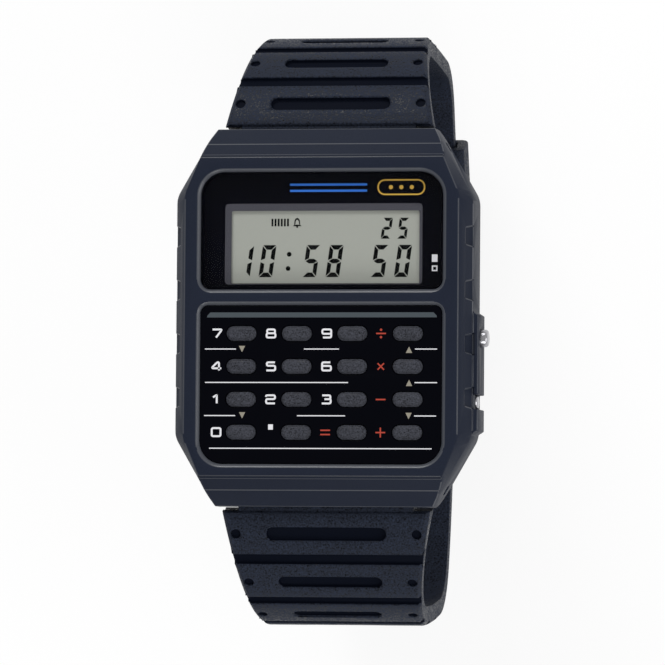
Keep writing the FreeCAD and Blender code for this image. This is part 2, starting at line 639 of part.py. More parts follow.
def make_key(label, x, y):
    """A key: a stadium cap on a wider flange that the panel holds down."""
    body = new_body(label)
    foot = sketch_on(body, "XY_Plane", "panel_seat_z-flange_drop-flange_thick")
    rectangle(foot, "-flange_length/2", "flange_length/2", "-flange_width/2", "flange_width/2")
    pad(body, foot, "flange_thick")
    cap = sketch_on(body, "XY_Plane", "panel_seat_z-flange_drop")
    stadium(cap, "0", "0", "key_length", "key_width")
    pad(body, cap, "face_z-panel_seat_z+flange_drop")
    top = size("face_z")
    names = [f"Edge{n}" for n, edge in enumerate(body.Shape.Edges, start=1)
             if abs(edge.BoundBox.ZMin - top) < 1e-4]
    last = body.Tip
    crown = body.newObject("PartDesign::Chamfer", unique("crown"))
    crown.Base = (last, names)
    crown.setExpression("Size", bound("key_crown"))
    body.setExpression("Placement.Base.x", bound(x))
    body.setExpression("Placement.Base.y", bound(y))
    doc.recompute()


# The movement: frame, board, display, cell and sounder
def make_module():
    half = ("-board_half_width", "board_half_width", "-board_half_length", "board_half_length")
    frame = plate("module_frame", *half, "frame_bottom_z", "board_z-frame_bottom_z", "board_corner_r")
    bay = sketch_on(frame, "XY_Plane", "frame_bottom_z")
    circle(bay, "cell_x", "cell_y", "cell_r+cell_gap")
    pocket(frame, bay, "cell_thick+cell_z-frame_bottom_z+cell_gap", reverse=True)
    wells = sketch_on(frame, "XY_Plane", "board_z")
    rectangle(wells, "chip_x-chip_size/2-pocket_gap", "chip_x+chip_size/2+pocket_gap",
              "chip_y-chip_size/2-pocket_gap", "chip_y+chip_size/2+pocket_gap")
    rectangle(wells, "crystal_x-crystal_r-pocket_gap", "crystal_x+crystal_r+pocket_gap",
              "crystal_y-crystal_length/2-pocket_gap", "crystal_y+crystal_length/2+pocket_gap")
    pocket(frame, wells, "crystal_r*2+pocket_gap")
    sides = sketch_on(frame, "XY_Plane", "0")
    circle(sides, "sounder_x", "sounder_spring_y", "sounder_spring_r+pocket_gap")
    for y in ("mode_y", "adjust_y"):
        rectangle(sides, "shaft_end_x-contact_gap-contact_thick-fit_gap", "board_half_width+1",
                  f"{y}-clip_r-pocket_gap", f"{y}+clip_r+pocket_gap")
    pocket(frame, sides, "board_z+1", reverse=True)
    plate("circuit_board", *half, "board_z", "board_thick", "board_corner_r")
    make_display()
    make_board_parts()
    make_power()


def make_display():
    low = ("lcd_y-lcd_half_height", "lcd_y+lcd_half_height")
    lcd = plate("lcd_panel", "display_x-lcd_half_width", "display_x+lcd_half_width", *low,
                "lcd_z", "lcd_plate")
    upper = sketch_on(lcd, "XY_Plane", "lcd_z+lcd_plate")
    rectangle(upper, "display_x-lcd_half_width", "display_x+lcd_half_width",
              f"{low[0]}+lcd_lip/4", f"{low[1]}-lcd_lip/4")
    pad(lcd, upper, "lcd_plate")
    wide = ("display_x-lcd_half_width+part_gap", "display_x+lcd_half_width-part_gap")
    plate("lcd_reflector", *wide, f"{low[0]}+lcd_lip+part_gap", f"{low[1]}-lcd_lip-part_gap",
          "lcd_z-reflector_thick", "reflector_thick")
    heights = ("board_z+board_thick", "lcd_z")
    strips = [block(*wide, low[0], f"{low[0]}+strip_width", *heights),
              block(*wide, f"{low[1]}-strip_width", low[1], *heights)]
    keep(group(*strips), "connector_strips")


def make_board_parts():
    """Chip, crystal and switch contacts hang from the board's underside."""
    chip = block("chip_x-chip_size/2", "chip_x+chip_size/2", "chip_y-chip_size/2",
                 "chip_y+chip_size/2", "board_z-chip_thick", "board_z")
    keep(chip, "driver_chip")
    crystal = rod("crystal_r", "crystal_length", "crystal_x", "crystal_y-crystal_length/2",
                  "board_z-crystal_r", "y")
    keep(crystal, "quartz_crystal")
    contacts = [block("shaft_end_x-contact_gap-contact_thick", "shaft_end_x-contact_gap",
                      f"{y}-contact_half_width", f"{y}+contact_half_width",
                      "button_z-contact_drop", "board_z") for y in ("mode_y", "adjust_y")]
    keep(group(*contacts), "switch_contacts")


def make_power():
    """Cell, its clip, the insulating film and the sounder lie on the back plate's side."""
    cell = fuse(rod("cell_r", "cell_thick-cell_step", "cell_x", "cell_y", "cell_z"),
                rod("cell_lid_r", "cell_thick", "cell_x", "cell_y", "cell_z"))
    keep(cell, "button_cell")
    clip = block("cell_x-cell_r", "cell_x+cell_r", "cell_y-clip_plate_width/2",
                 "cell_y+clip_plate_width/2", "cell_z-clip_plate_thick", "cell_z")
    keep(clip, "cell_clip")
    plate("insulating_film", "-board_half_width", "board_half_width", "-board_half_length",
          "sounder_y-sounder_r-part_gap", "back_thick+fit_gap", "film_thick", "board_corner_r",
          "film_corner_r")
    disc = rod("sounder_r", "sounder_thick", "sounder_x", "sounder_y", "back_thick")
    keep(disc, "sounder_disc")
    length = size("board_z") - size("back_thick") - size("sounder_thick")
    coil = coil_shape(size("sounder_spring_r"), size("sounder_wire"), length, size("sounder_turns"))
    spring = doc.addObject("Part::Feature", "sounder_spring")
    spring.Shape = coil
    spring.Placement.Base = FreeCAD.Vector(size("sounder_x"), size("sounder_spring_y"),
                                           size("back_thick") + size("sounder_thick"))
    keep(spring, "sounder_spring")


def coil_shape(radius, wire, length, turns):
    """A coil of square wire between two planes, lofted through eight sections a turn."""
    steps = int(turns * 8)
    middle, half = radius - wire / 2, wire / 2
    sections = []
    for step in range(steps + 1):
        angle = 2 * math.pi * turns * step / steps
        rise = half + (length - wire) * step / steps
        out = FreeCAD.Vector(math.cos(angle), math.sin(angle), 0)
        corners = [(-half, -half), (half, -half), (half, half), (-half, half)]
        points = [out * (middle + r) + FreeCAD.Vector(0, 0, rise + z) for r, z in corners]
        sections.append(Part.makePolygon(points + points[:1]))
    return Part.makeLoft(sections, True, True)


# Back plate with its gasket and four countersunk screws
def make_back():
    back = plate("case_back", "-back_half_width", "back_half_width", "-back_half_length",
                 "back_half_length", "0", "back_thick", "back_corner_r-fit_gap")
    holes = sketch_on(back, "XY_Plane", "0")
    heads = sketch_on(back, "XY_Plane", "0")
    for x, y in corner_points("screw_x", "screw_y"):
        circle(holes, x, y, "screw_r+fit_gap")
        circle(heads, x, y, "screw_head_r+fit_gap")
    pocket(back, holes, "back_thick*2", reverse=True)
    pocket(back, heads, "screw_head_thick+fit_gap", reverse=True)
    screws = [fuse(rod("screw_head_r", "screw_head_thick", x, y, "fit_gap"),
                   rod("screw_r", "screw_length", x, y, "fit_gap"))
              for x, y in corner_points("screw_x", "screw_y")]
    keep(group(*screws), "back_screws")
    gasket = new_body("back_gasket")
    ring = sketch_on(gasket, "XY_Plane", "back_thick")
    for grow in ("(gasket_offset+fit_gap)", "(gasket_offset+gasket_width-fit_gap)"):
        rectangle(ring, f"-cavity_half_width-{grow}", f"cavity_half_width+{grow}",
                  f"-cavity_half_length-{grow}", f"cavity_half_length+{grow}",
                  f"cavity_corner_r+{grow}")
    pad(gasket, ring, "gasket_height")


# Side buttons with seal, spring and retaining clip
def make_buttons():
    for stem, y, head_r, tip in (("mode", "mode_y", "mode_head_r", "mode_tip_x"),
                                 ("adjust", "adjust_y", "adjust_head_r", "adjust_tip_x")):
        groove = "cavity_half_width-part_gap"
        head = rod(head_r, f"{tip}-head_back_x", "head_back_x", y, "button_z", "x")
        dome = doc.addObject("Part::Chamfer", unique("dome"))
        dome.Base = head
        doc.recompute()
        far = size(tip)
        dome.Edges = [(n, size("button_dome"), size("button_dome"))
                      for n, edge in enumerate(head.Shape.Edges, start=1)
                      if abs(edge.BoundBox.XMin - far) < 1e-4]
        shaft = rod("button_shaft_r", "head_back_x-shaft_end_x", "shaft_end_x", y, "button_z", "x")
        neck = cut(rod("button_shaft_r+1", "clip_thick", f"{groove}-clip_thick", y, "button_z", "x"),
                   rod("clip_groove_r", "clip_thick", f"{groove}-clip_thick", y, "button_z", "x"))
        keep(fuse(dome, cut(shaft, neck)), f"{stem}_button")
        clip = cut(rod("clip_r", "clip_thick-fit_gap", f"{groove}-clip_thick+fit_gap/2", y,
                       "button_z", "x"),
                   rod("clip_groove_r+fit_gap/2", "1", f"{groove}-clip_thick-part_gap", y,
                       "button_z", "x"),
                   block(f"{groove}-1", f"{groove}+1", f"{y}-clip_groove_r*0.8",
                         f"{y}+clip_groove_r*0.8", "button_z", "button_z+clip_r+1"))
        keep(clip, f"{stem}_clip")
        start = size("button_floor_x") + size("seal_thick")
        length = size("head_back_x") - start
        coil = coil_shape(size("button_spring_r"), size("button_wire"), length, size("button_turns"))
        spring = doc.addObject("Part::Feature", f"{stem}_spring")
        spring.Shape = coil
        spring.Placement = FreeCAD.Placement(
            FreeCAD.Vector(start, size(y), size("button_z")),
            FreeCAD.Rotation(FreeCAD.Vector(0, 1, 0), 90))
        keep(spring, f"{stem}_spring")
    rings = [cut(rod("button_shaft_r+fit_gap+seal_thick", "seal_thick", "button_floor_x", y,
                     "button_z", "x"),
                 rod("button_shaft_r+fit_gap", "1", "button_floor_x-part_gap", y, "button_z", "x"))
             for y in ("mode_y", "adjust_y")]
    keep(group(*rings), "button_seals")


# Spring bars that join the strap to the lugs
def make_spring_bar(label, y):
    tube = rod("bar_r", "bar_half_length*2", "-bar_half_length", y, "bar_z", "x")
    pin = rod("bar_tip_r", "bar_half_length*2+bar_tip_length*2",
              "-bar_half_length-bar_tip_length", y, "bar_z", "x")
    keep(fuse(tube, pin), label)


# The strap: one outer line per half, in arcs and straights, followed by every section
class Route:
    """A path in the YZ plane, as arcs and straights, with the heading below the horizon."""

    def __init__(self, side, start_y, start_depth, slope):
        self.side = side
        self.spans = []
        self.y, self.depth, self.slope, self.length = start_y, start_depth, slope, 0.0

    def run(self, length, turn=0.0):
        """Go on for a length, turning by so many degrees on the way."""
        self.spans.append((self.length, length, self.y, self.depth, self.slope, turn))
        self.y, self.depth, self.slope = self.place(self.spans[-1], length)
        self.length += length
        return self

    def bend(self, radius, turn):
        """Go round an arc of one radius through so many degrees."""
        return self.run(math.radians(turn) * radius, turn)

    @staticmethod
    def place(span, along):
        _, length, y, depth, slope, turn = span
        a = math.radians(slope)
        if abs(turn) < 1e-9:
            return y + along * math.cos(a), depth + along * math.sin(a), slope
        b = math.radians(slope + turn * along / length)
        radius = length / math.radians(turn)
        return (y + radius * (math.sin(b) - math.sin(a)),
                depth + radius * (math.cos(a) - math.cos(b)), math.degrees(b))

    def frame(self, along):
        """Point, forward and inward directions at a distance along the route."""
        span = next((s for s in self.spans if along <= s[0] + s[1] + 1e-9), self.spans[-1])
        y, depth, slope = self.place(span, along - span[0])
        a = math.radians(slope)
        point = FreeCAD.Vector(0, self.side * y, -depth)
        ahead = FreeCAD.Vector(0, self.side * math.cos(a), -math.sin(a))
        inward = FreeCAD.Vector(0, -self.side * math.sin(a), -math.cos(a))
        return point, ahead, inward


def strap_half_width(along):
    """The strap narrows from the case and then keeps its width."""
    shrink = math.exp(-(max(along, 0.0) / size("strap_flare_length")) ** size("strap_flare_power"))
    return size("strap_full_half") + size("strap_flare") * shrink


def strap_thickness(along):
    share = max(0.0, 1.0 - along / size("strap_thin_length"))
    return size("strap_thick") + (size("strap_root_thick") - size("strap_thick")) * share


def strap_section(route, along):
    """The strap's cross section, flat inside and with broken outer edges."""
    point, _, inward = route.frame(along)
    wide, thick, edge = strap_half_width(along), strap_thickness(along), size("strap_edge")
    corners = [(-wide, edge), (-wide + edge, 0), (wide - edge, 0), (wide, edge), (wide, thick),
               (-wide, thick)]
    points = [point + FreeCAD.Vector(x, 0, 0) + inward * depth for x, depth in corners]
    return Part.makePolygon(points + points[:1])


def strap_skin(route, start, end):
    """Loft each span of the route between its own sections and join them."""
    pieces = []
    for base, length, _, _, _, turn in route.spans:
        low, high = max(base, start), min(base + length, end)
        if high - low < 0.05:
            continue
        tapered = low < size("strap_thin_length") * 1.8
        count = max(1, math.ceil(abs(turn) * (high - low) / length / 12))
        count = max(count, math.ceil((high - low) / 4) if tapered else 1)
        stops = [low + (high - low) * i / count for i in range(count + 1)]
        wires = [strap_section(route, stop) for stop in stops]
        pieces.append(Part.makeLoft(wires, True, count == 1, False))
    return pieces[0].multiFuse(pieces[1:]).removeSplitter() if len(pieces) > 1 else pieces[0]


def across(route, along, half_x, half_along, depth, lift=0.6):
    """A straight cutter across the strap, let in by a depth."""
    point, ahead, inward = route.frame(along)
    profile = [point - ahead * half_along - inward * lift, point + ahead * half_along - inward * lift,
               point + ahead * half_along + inward * depth, point - ahead * half_along + inward * depth]
    wire = Part.makePolygon(profile + profile[:1])
    face = Part.Face(wire)
    face.translate(FreeCAD.Vector(-half_x, 0, 0))
    return face.extrude(FreeCAD.Vector(half_x * 2, 0, 0))


def round_cutter(route, along, x, radius, depth, lift=0.6):
    point, _, inward = route.frame(along)
    base = point + FreeCAD.Vector(x, 0, 0) - inward * lift
    return Part.makeCylinder(radius, depth + lift, base, inward)


def slot_cutter(route, along, half_length, width, depth):
    """A stadium recess across the strap."""
    radius = width / 2
    reach = half_length - radius
    middle = across(route, along, reach, radius, depth)
    ends = [round_cutter(route, along, x, radius, depth) for x in (-reach, reach)]
    return middle.multiFuse(ends)


def rib_cutters(route, count):
    """Grooves and slots take turns along the strap, with a dimple at each slot's ends."""
    cutters = []
    for number in range(count):
        along = size("rib_first") + number * size("rib_pitch")
        wide = strap_half_width(along)
        if number % 2:
            cutters.append(across(route, along, wide + 1, size("groove_width") / 2,
                                  size("groove_depth")))
            continue
        half = size("slot_half_length") - size("slot_shrink") * number
        cutters.append(slot_cutter(route, along, max(half, size("slot_least_half")),
                                   size("slot_width"), size("slot_depth")))
        for x in (size("dimple_inset") - wide, wide - size("dimple_inset")):
            cutters.append(round_cutter(route, along, x, size("dimple_r"), size("dimple_depth")))
    return cutters


def strap_route(side):
    """The outer line of a strap half, from the top of its eye."""
    slope = size("strap_12_slope" if side > 0 else "strap_6_slope")
    a = math.radians(slope)
    start_y = size("bar_y") + size("eye_r") * math.sin(a)
    route = Route(side, start_y, -(size("bar_z") + size("eye_r") * math.cos(a)), slope)
    bend = size("strap_12_bend_r" if side > 0 else "strap_6_bend_r")
    if side > 0:
        route.run(size("strap_12_start")).bend(bend, 90 - slope)
        route.run(size("strap_12_side"), size("strap_12_side_turn"))
        route.bend(size("strap_12_fold_r"), size("strap_12_fold")).run(size("keeper_track"))
        route.run(size("strap_12_end"), size("strap_12_end_turn")).run(size("strap_12_tip"))
    else:
        route.run(size("strap_6_start")).bend(bend, 90 - slope)
        route.run(size("strap_6_side"), size("strap_6_side_turn"))
        route.bend(size("strap_6_fold_r"), size("strap_6_fold"))
        route.bend(size("tail_r"), size("tail_turn")).bend(size("tail_end_r"), size("tail_end_turn"))
        route.run(size("tail_straight"))
    return route


def strap_root(route, side):
    """The tongue with its eye, between the lugs, under the full-width shoulders."""
    bar = FreeCAD.Vector(-size("lug_gap_half") + size("tongue_gap"), side * size("bar_y"), size("bar_z"))
    length = 2 * (size("lug_gap_half") - size("tongue_gap"))
    along_x = FreeCAD.Vector(1, 0, 0)
    eye = Part.makeCylinder(size("eye_r"), length, bar, along_x)
    reach = size("tongue_reach")
    neck_points = []
    for stop, depth in ((0, 0), (reach, 0), (reach, strap_thickness(0)), (0, size("eye_r") * 2)):
        point, _, inward = route.frame(stop)
        neck_points.append(point + inward * depth)
    neck = Part.Face(Part.makePolygon(neck_points + neck_points[:1]))
    neck.translate(FreeCAD.Vector(-length / 2, 0, 0))
    neck = neck.extrude(FreeCAD.Vector(length, 0, 0))
    return eye.fuse(neck)


def strap_bore(y, depth, radius, half_length=30.0):
    start = FreeCAD.Vector(-half_length, y, -depth)
    return Part.makeCylinder(radius, half_length * 2, start, FreeCAD.Vector(1, 0, 0))


def lug_clearance(side):
    """Room for the lugs: round below the bar and leaning above it, so that the strap can lift."""
    bar_y, bar_z = size("bar_y"), size("bar_z")
    swing = math.radians(size("strap_swing"))
    gap, rise = size("lip_y") - bar_y + size("tongue_gap"), size("ridge_z") - bar_z
    lean = (gap + rise * math.sin(swing)) / math.cos(swing)
    corners = [(0, 0), (gap, 0), (lean, rise), (0, rise)]
    points = [FreeCAD.Vector(-20, side * (bar_y + y), bar_z + z) for y, z in corners]
    wedge = Part.Face(Part.makePolygon(points + points[:1])).extrude(FreeCAD.Vector(40, 0, 0))
    return strap_bore(side * bar_y, -bar_z, size("shoulder_gap_r")).fuse(wedge)


def make_strap(side, label, ribs):
    """One half of the strap, with its tongue, ribs and either a buckle eye or a holed tail."""
    route = strap_route(side)
    end = route.length if side > 0 else route.length - size("strap_full_half")
    skin = strap_skin(route, 1.0, end)
    shape = skin.cut(lug_clearance(side)).fuse(strap_root(route, side))
    bore = strap_bore(side * size("bar_y"), -size("bar_z"), size("bar_r") + size("fit_gap"))
    cutters = rib_cutters(route, ribs) + [bore]
    if side > 0:
        shape = buckle_end(route, shape)
    else:
        shape = shape.fuse(tail_tip(route, end))
        first = route.length - size("strap_full_half") - size("hole_inset")
        for number in range(HOLES):
            along = first - number * size("hole_pitch")
            cutters.append(round_cutter(route, along, 0, size("hole_r"), 4.0))
    shape = shape.cut(cutters[0].multiFuse(cutters[1:])).removeSplitter()
    item = doc.addObject("Part::Feature", label)
    item.Shape = shape.Solids[0] if len(shape.Solids) == 1 else shape
    item.Placement = FreeCAD.Placement()
    keep(item, label)
    return route


def tail_tip(route, end):
    """The tail ends in a half-round point as wide as the strap."""
    point, ahead, inward = route.frame(end)
    wide, thick = strap_half_width(end), strap_thickness(end)
    disc = Part.makeCylinder(wide, thick, point, inward)
    half = across(route, end - 2 * wide, wide + 1, 2 * wide, thick + 1, lift=1)
    return disc.cut(half)


def buckle_axis(route):
    """The buckle bar's axis lies inside the rounded end of the 12 o'clock half."""
    point, _, inward = route.frame(route.length)
    return point + inward * size("buckle_eye_r")


def buckle_eye_half(route):
    """Half the length of the eye: a little less than the strap's half width there."""
    return strap_half_width(route.length) - size("buckle_eye_inset")


def buckle_end(route, shape):
    """An eye for the buckle's bar with a slot for the tang."""
    centre = buckle_axis(route)
    wide = 2 * buckle_eye_half(route)
    start = centre - FreeCAD.Vector(wide / 2, 0, 0)
    eye = Part.makeCylinder(size("buckle_eye_r"), wide, start, FreeCAD.Vector(1, 0, 0))
    room = size("rail_thick") / 2 + size("buckle_room")
    sides = strap_bore(centre.y, -centre.z, room)
    keepout = Part.makeBox(wide, 40, 40, FreeCAD.Vector(-wide / 2, centre.y - 20, centre.z - 20))
    bore = strap_bore(centre.y, -centre.z, size("buckle_bar_r") + size("fit_gap"))
    slot = size("tang_slot_half")
    gap = Part.makeCylinder(room + size("tang_slot_reach"), slot * 2, centre - FreeCAD.Vector(slot, 0, 0),
                            FreeCAD.Vector(1, 0, 0))
    return shape.cut(sides.cut(keepout)).fuse(eye).cut(bore).cut(gap)


# Keeper, buckle frame, buckle bar and tang
def make_keeper(route):
    """A resin loop that slides along the straight part of the strap."""
    start = route.spans[4][0] + size("keeper_start")
    point, ahead, inward = route.frame(start)
    wide = strap_half_width(start) + size("keeper_gap")
    low, high = -size("keeper_gap"), strap_thickness(start) + size("keeper_gap")
    wall = size("keeper_wall")

    def loop(half, top, bottom, radius):
        corners = [(-half, top), (half, top), (half, bottom), (-half, bottom)]
        points = [point + FreeCAD.Vector(x, 0, 0) + inward * d for x, d in corners]
        solid = Part.Face(Part.makePolygon(points + points[:1])).extrude(
            ahead * size("keeper_length"))
        if radius <= 0:
            return solid
        edges = [e for e in solid.Edges if abs(e.Length - size("keeper_length")) < 1e-6]
        return solid.makeFillet(radius, edges)

    outer = loop(wide + wall, low - wall, high + wall, size("keeper_corner_r"))
    item = doc.addObject("Part::Feature", "keeper")
    item.Shape = outer.cut(loop(wide, low, high, 0))
    item.Placement = FreeCAD.Placement()
    keep(item, "keeper")


def make_buckle(route):
    """A moulded frame on a thin bar, with a steel tang that rests on its far bar."""
    axis = buckle_axis(route)
    centre_y, centre_z = axis.y, axis.z
    half = buckle_eye_half(route) + size("buckle_gap")
    outside = half + size("rail_width")
    thick = size("rail_thick")
    reach, far = size("frame_reach"), size("far_bar")
    low = centre_z - thick / 2
    rails = []
    for side in (-1, 1):
        start = half if side > 0 else -outside
        rails.append(Part.makeBox(size("rail_width"), reach, thick,
                                  FreeCAD.Vector(start, centre_y - reach, low)))
        rails.append(Part.makeCylinder(thick / 2, size("rail_width"),
                                       FreeCAD.Vector(start, centre_y, centre_z),
                                       FreeCAD.Vector(1, 0, 0)))
    bar = Part.makeBox(outside * 2, far, size("far_bar_thick"),
                       FreeCAD.Vector(-outside, centre_y - reach, low + thick - size("far_bar_thick")))
    frame = rails[0].multiFuse(rails[1:] + [bar]).removeSplitter()
    corners = [e for e in frame.Edges
               if abs(e.BoundBox.YMax - (centre_y - reach)) < 1e-4 and e.BoundBox.ZLength > 1.0
               and e.BoundBox.XLength < 1e-4 and abs(e.BoundBox.XMin) > outside - 0.01]
    frame = frame.makeFillet(size("frame_corner_r"), corners)
    pin_half = outside - size("bar_end_wall")
    hole = strap_bore(centre_y, -centre_z, size("buckle_bar_r"), pin_half)
    item = doc.addObject("Part::Feature", "buckle_frame")
    item.Shape = frame.cut(hole)
    item.Placement = FreeCAD.Placement()
    keep(item, "buckle_frame")
    pin = doc.addObject("Part::Cylinder", "buckle_pin")
    pin.setExpression("Radius", bound("buckle_bar_r"))
    pin.Height = 2 * pin_half
    pin.Placement = FreeCAD.Placement(FreeCAD.Vector(-pin_half, centre_y, centre_z),
                                      FreeCAD.Rotation(FreeCAD.Vector(0, 1, 0), 90))
    keep(pin, "buckle_bar")
    make_tang(centre_y, centre_z, reach, low + thick - size("far_bar_thick"))


def make_tang(centre_y, centre_z, reach, rest_z):
    """A flat steel tang: an eye round the bar and a blade that lies on the far bar."""
    half, thick = size("tang_width") / 2, size("tang_thick")
    start = FreeCAD.Vector(-half, centre_y, centre_z)
    eye = Part.makeCylinder(size("tang_eye_r"), half * 2, start, FreeCAD.Vector(1, 0, 0))
    seat = rest_z - size("fit_gap")
    tip = centre_y - reach - size("tang_overhang")
    blade_points = [(centre_y, centre_z - size("tang_eye_r")), (centre_y, centre_z),
                    (centre_y - reach + size("far_bar"), seat), (tip, seat),
                    (tip - size("tang_nose"), seat - thick / 2),
                    (centre_y - reach + size("far_bar"), seat - thick)]
    points = [FreeCAD.Vector(-half, y, z) for y, z in blade_points]
    blade = Part.Face(Part.makePolygon(points + points[:1])).extrude(FreeCAD.Vector(half * 2, 0, 0))
    bore = Part.makeCylinder(size("buckle_bar_r") + size("fit_gap"), half * 4,
                             start - FreeCAD.Vector(half, 0, 0), FreeCAD.Vector(1, 0, 0))
    item = doc.addObject("Part::Feature", "tang")
    item.Shape = eye.fuse(blade).cut(bore)
    item.Placement = FreeCAD.Placement()
    keep(item, "tang")


make_case()
make_glass()
make_keypad()
make_module()
make_back()
make_buttons()
make_spring_bar("spring_bar_12", "bar_y")
make_spring_bar("spring_bar_6", "-bar_y")
upper_route = make_strap(1, "strap_12", RIBS_12)
make_strap(-1, "strap_6", RIBS_6)
make_keeper(upper_route)
make_buckle(upper_route)
doc.recompute()

# Nothing is written unless every object is sound
faults = [item.Label for item in doc.Objects if {"Invalid", "Error"} & set(item.State)]
for item in finished:
    if item.Shape.isNull() or not item.Shape.isValid() or not item.Shape.Solids:
        faults.append(item.Label)
if faults:
    raise ValueError(f"these objects failed: {faults}")

os.makedirs("parts", exist_ok=True)
for item in finished:
    item.Shape.exportStep(os.path.join("parts", f"{item.Label}.step"))
    print(item.Label, len(item.Shape.Solids), round(item.Shape.Volume, 2))
print("buckle axis", buckle_axis(upper_route))
print("keeper track starts at", upper_route.frame(upper_route.spans[4][0]))
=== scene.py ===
"""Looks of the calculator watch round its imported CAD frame.

Metres, +Z out of the dial, +Y to 12 o'clock, +X to 3 o'clock, the origin on the back plate.
"""
import bmesh
import bpy
import math
import numpy as np
from mathutils import Matrix, Vector


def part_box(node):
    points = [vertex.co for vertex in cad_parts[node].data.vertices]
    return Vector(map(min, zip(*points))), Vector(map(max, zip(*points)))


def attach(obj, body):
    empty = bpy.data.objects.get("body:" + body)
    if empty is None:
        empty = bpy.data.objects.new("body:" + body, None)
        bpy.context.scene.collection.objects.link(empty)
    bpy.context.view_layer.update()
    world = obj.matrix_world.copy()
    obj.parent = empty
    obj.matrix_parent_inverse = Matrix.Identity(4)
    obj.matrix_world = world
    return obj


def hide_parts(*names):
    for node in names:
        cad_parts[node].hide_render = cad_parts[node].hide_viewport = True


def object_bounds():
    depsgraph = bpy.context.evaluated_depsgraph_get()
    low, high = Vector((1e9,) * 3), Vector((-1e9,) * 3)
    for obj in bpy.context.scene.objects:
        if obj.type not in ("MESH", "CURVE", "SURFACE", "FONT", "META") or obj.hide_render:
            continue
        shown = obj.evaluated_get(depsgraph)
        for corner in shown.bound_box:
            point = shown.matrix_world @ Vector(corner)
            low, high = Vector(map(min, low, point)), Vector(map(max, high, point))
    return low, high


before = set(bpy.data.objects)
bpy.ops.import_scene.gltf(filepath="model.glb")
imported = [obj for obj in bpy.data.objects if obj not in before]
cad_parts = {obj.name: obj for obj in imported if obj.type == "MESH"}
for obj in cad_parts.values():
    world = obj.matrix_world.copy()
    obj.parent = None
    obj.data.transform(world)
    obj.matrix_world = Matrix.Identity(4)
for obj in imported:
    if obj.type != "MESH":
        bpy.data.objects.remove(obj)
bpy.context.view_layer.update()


MM = 0.001


# The case is injection moulded from a blue-black resin with a fine spark-eroded grain.
# Every edge has a small round from the mould. The window rims are glossier, and their lighter colour
# is painted highlight; so is the thin bright line across each end slope and the lighter colour on the
# narrow upward-facing strips of the rounds.
# It is one piece that carries the lugs, the button guard and both windows' ledges.
def new_group(name, inputs, outputs):
    """A shader node group with named sockets."""
    group = bpy.data.node_groups.new(name, "ShaderNodeTree")
    for label, kind, default in inputs:
        socket = group.interface.new_socket(name=label, in_out="INPUT", socket_type=kind)
        socket.default_value = default
    for label, kind in outputs:
        group.interface.new_socket(name=label, in_out="OUTPUT", socket_type=kind)
    return group, group.nodes.new("NodeGroupInput"), group.nodes.new("NodeGroupOutput")


FINE_DETAIL = 2.0
BROAD_SHARE, BROAD_SCALE, BROAD_DETAIL = 0.15, 320.0, 3.0
GRAIN_HEIGHT = 0.03 * MM


def make_grain():
    """Fine moulded or ground grain: it varies a colour, a roughness and a normal."""
    group, given, result = new_group(
        "surface_grain",
        [("Color", "NodeSocketColor", (0.5, 0.5, 0.5, 1)), ("Spread", "NodeSocketFloat", 0.1),
         ("Roughness", "NodeSocketFloat", 0.5), ("Scale", "NodeSocketFloat", 9000.0),
         ("Stretch", "NodeSocketVector", (1, 1, 1)), ("Depth", "NodeSocketFloat", 0.1)],
        [("Color", "NodeSocketColor"), ("Roughness", "NodeSocketFloat"),
         ("Normal", "NodeSocketVector")])
    link = group.links.new
    place = group.nodes.new("ShaderNodeTexCoord")
    stretch = group.nodes.new("ShaderNodeVectorMath")
    stretch.operation = "MULTIPLY"
    link(place.outputs["Object"], stretch.inputs[0])
    link(given.outputs["Stretch"], stretch.inputs[1])
    fine = group.nodes.new("ShaderNodeTexNoise")
    fine.inputs["Detail"].default_value = FINE_DETAIL
    link(stretch.outputs[0], fine.inputs["Vector"])
    link(given.outputs["Scale"], fine.inputs["Scale"])
    broad = group.nodes.new("ShaderNodeTexNoise")
    broad.inputs["Scale"].default_value = BROAD_SCALE
    broad.inputs["Detail"].default_value = BROAD_DETAIL
    link(place.outputs["Object"], broad.inputs["Vector"])
    both = group.nodes.new("ShaderNodeMath")
    both.operation = "MULTIPLY_ADD"
    link(broad.outputs["Fac"], both.inputs[0])
    both.inputs[1].default_value = BROAD_SHARE
    link(fine.outputs["Fac"], both.inputs[2])
    centred = group.nodes.new("ShaderNodeMath")
    centred.operation = "SUBTRACT"
    link(both.outputs[0], centred.inputs[0])
    centred.inputs[1].default_value = (1 + BROAD_SHARE) / 2
    share = group.nodes.new("ShaderNodeMath")
    share.operation = "MULTIPLY_ADD"
    link(centred.outputs[0], share.inputs[0])
    link(given.outputs["Spread"], share.inputs[1])
    share.inputs[2].default_value = 1.0
    tint = group.nodes.new("ShaderNodeVectorMath")
    tint.operation = "SCALE"
    link(given.outputs["Color"], tint.inputs[0])
    link(share.outputs[0], tint.inputs["Scale"])
    link(tint.outputs[0], result.inputs["Color"])
    rough = group.nodes.new("ShaderNodeMath")
    rough.operation = "MULTIPLY"
    link(given.outputs["Roughness"], rough.inputs[0])
    link(share.outputs[0], rough.inputs[1])
    link(rough.outputs[0], result.inputs["Roughness"])
    bump = group.nodes.new("ShaderNodeBump")
    bump.inputs["Distance"].default_value = GRAIN_HEIGHT
    link(given.outputs["Depth"], bump.inputs["Strength"])
    link(fine.outputs["Fac"], bump.inputs["Height"])
    link(bump.outputs["Normal"], result.inputs["Normal"])
    return group


GRAIN = make_grain()


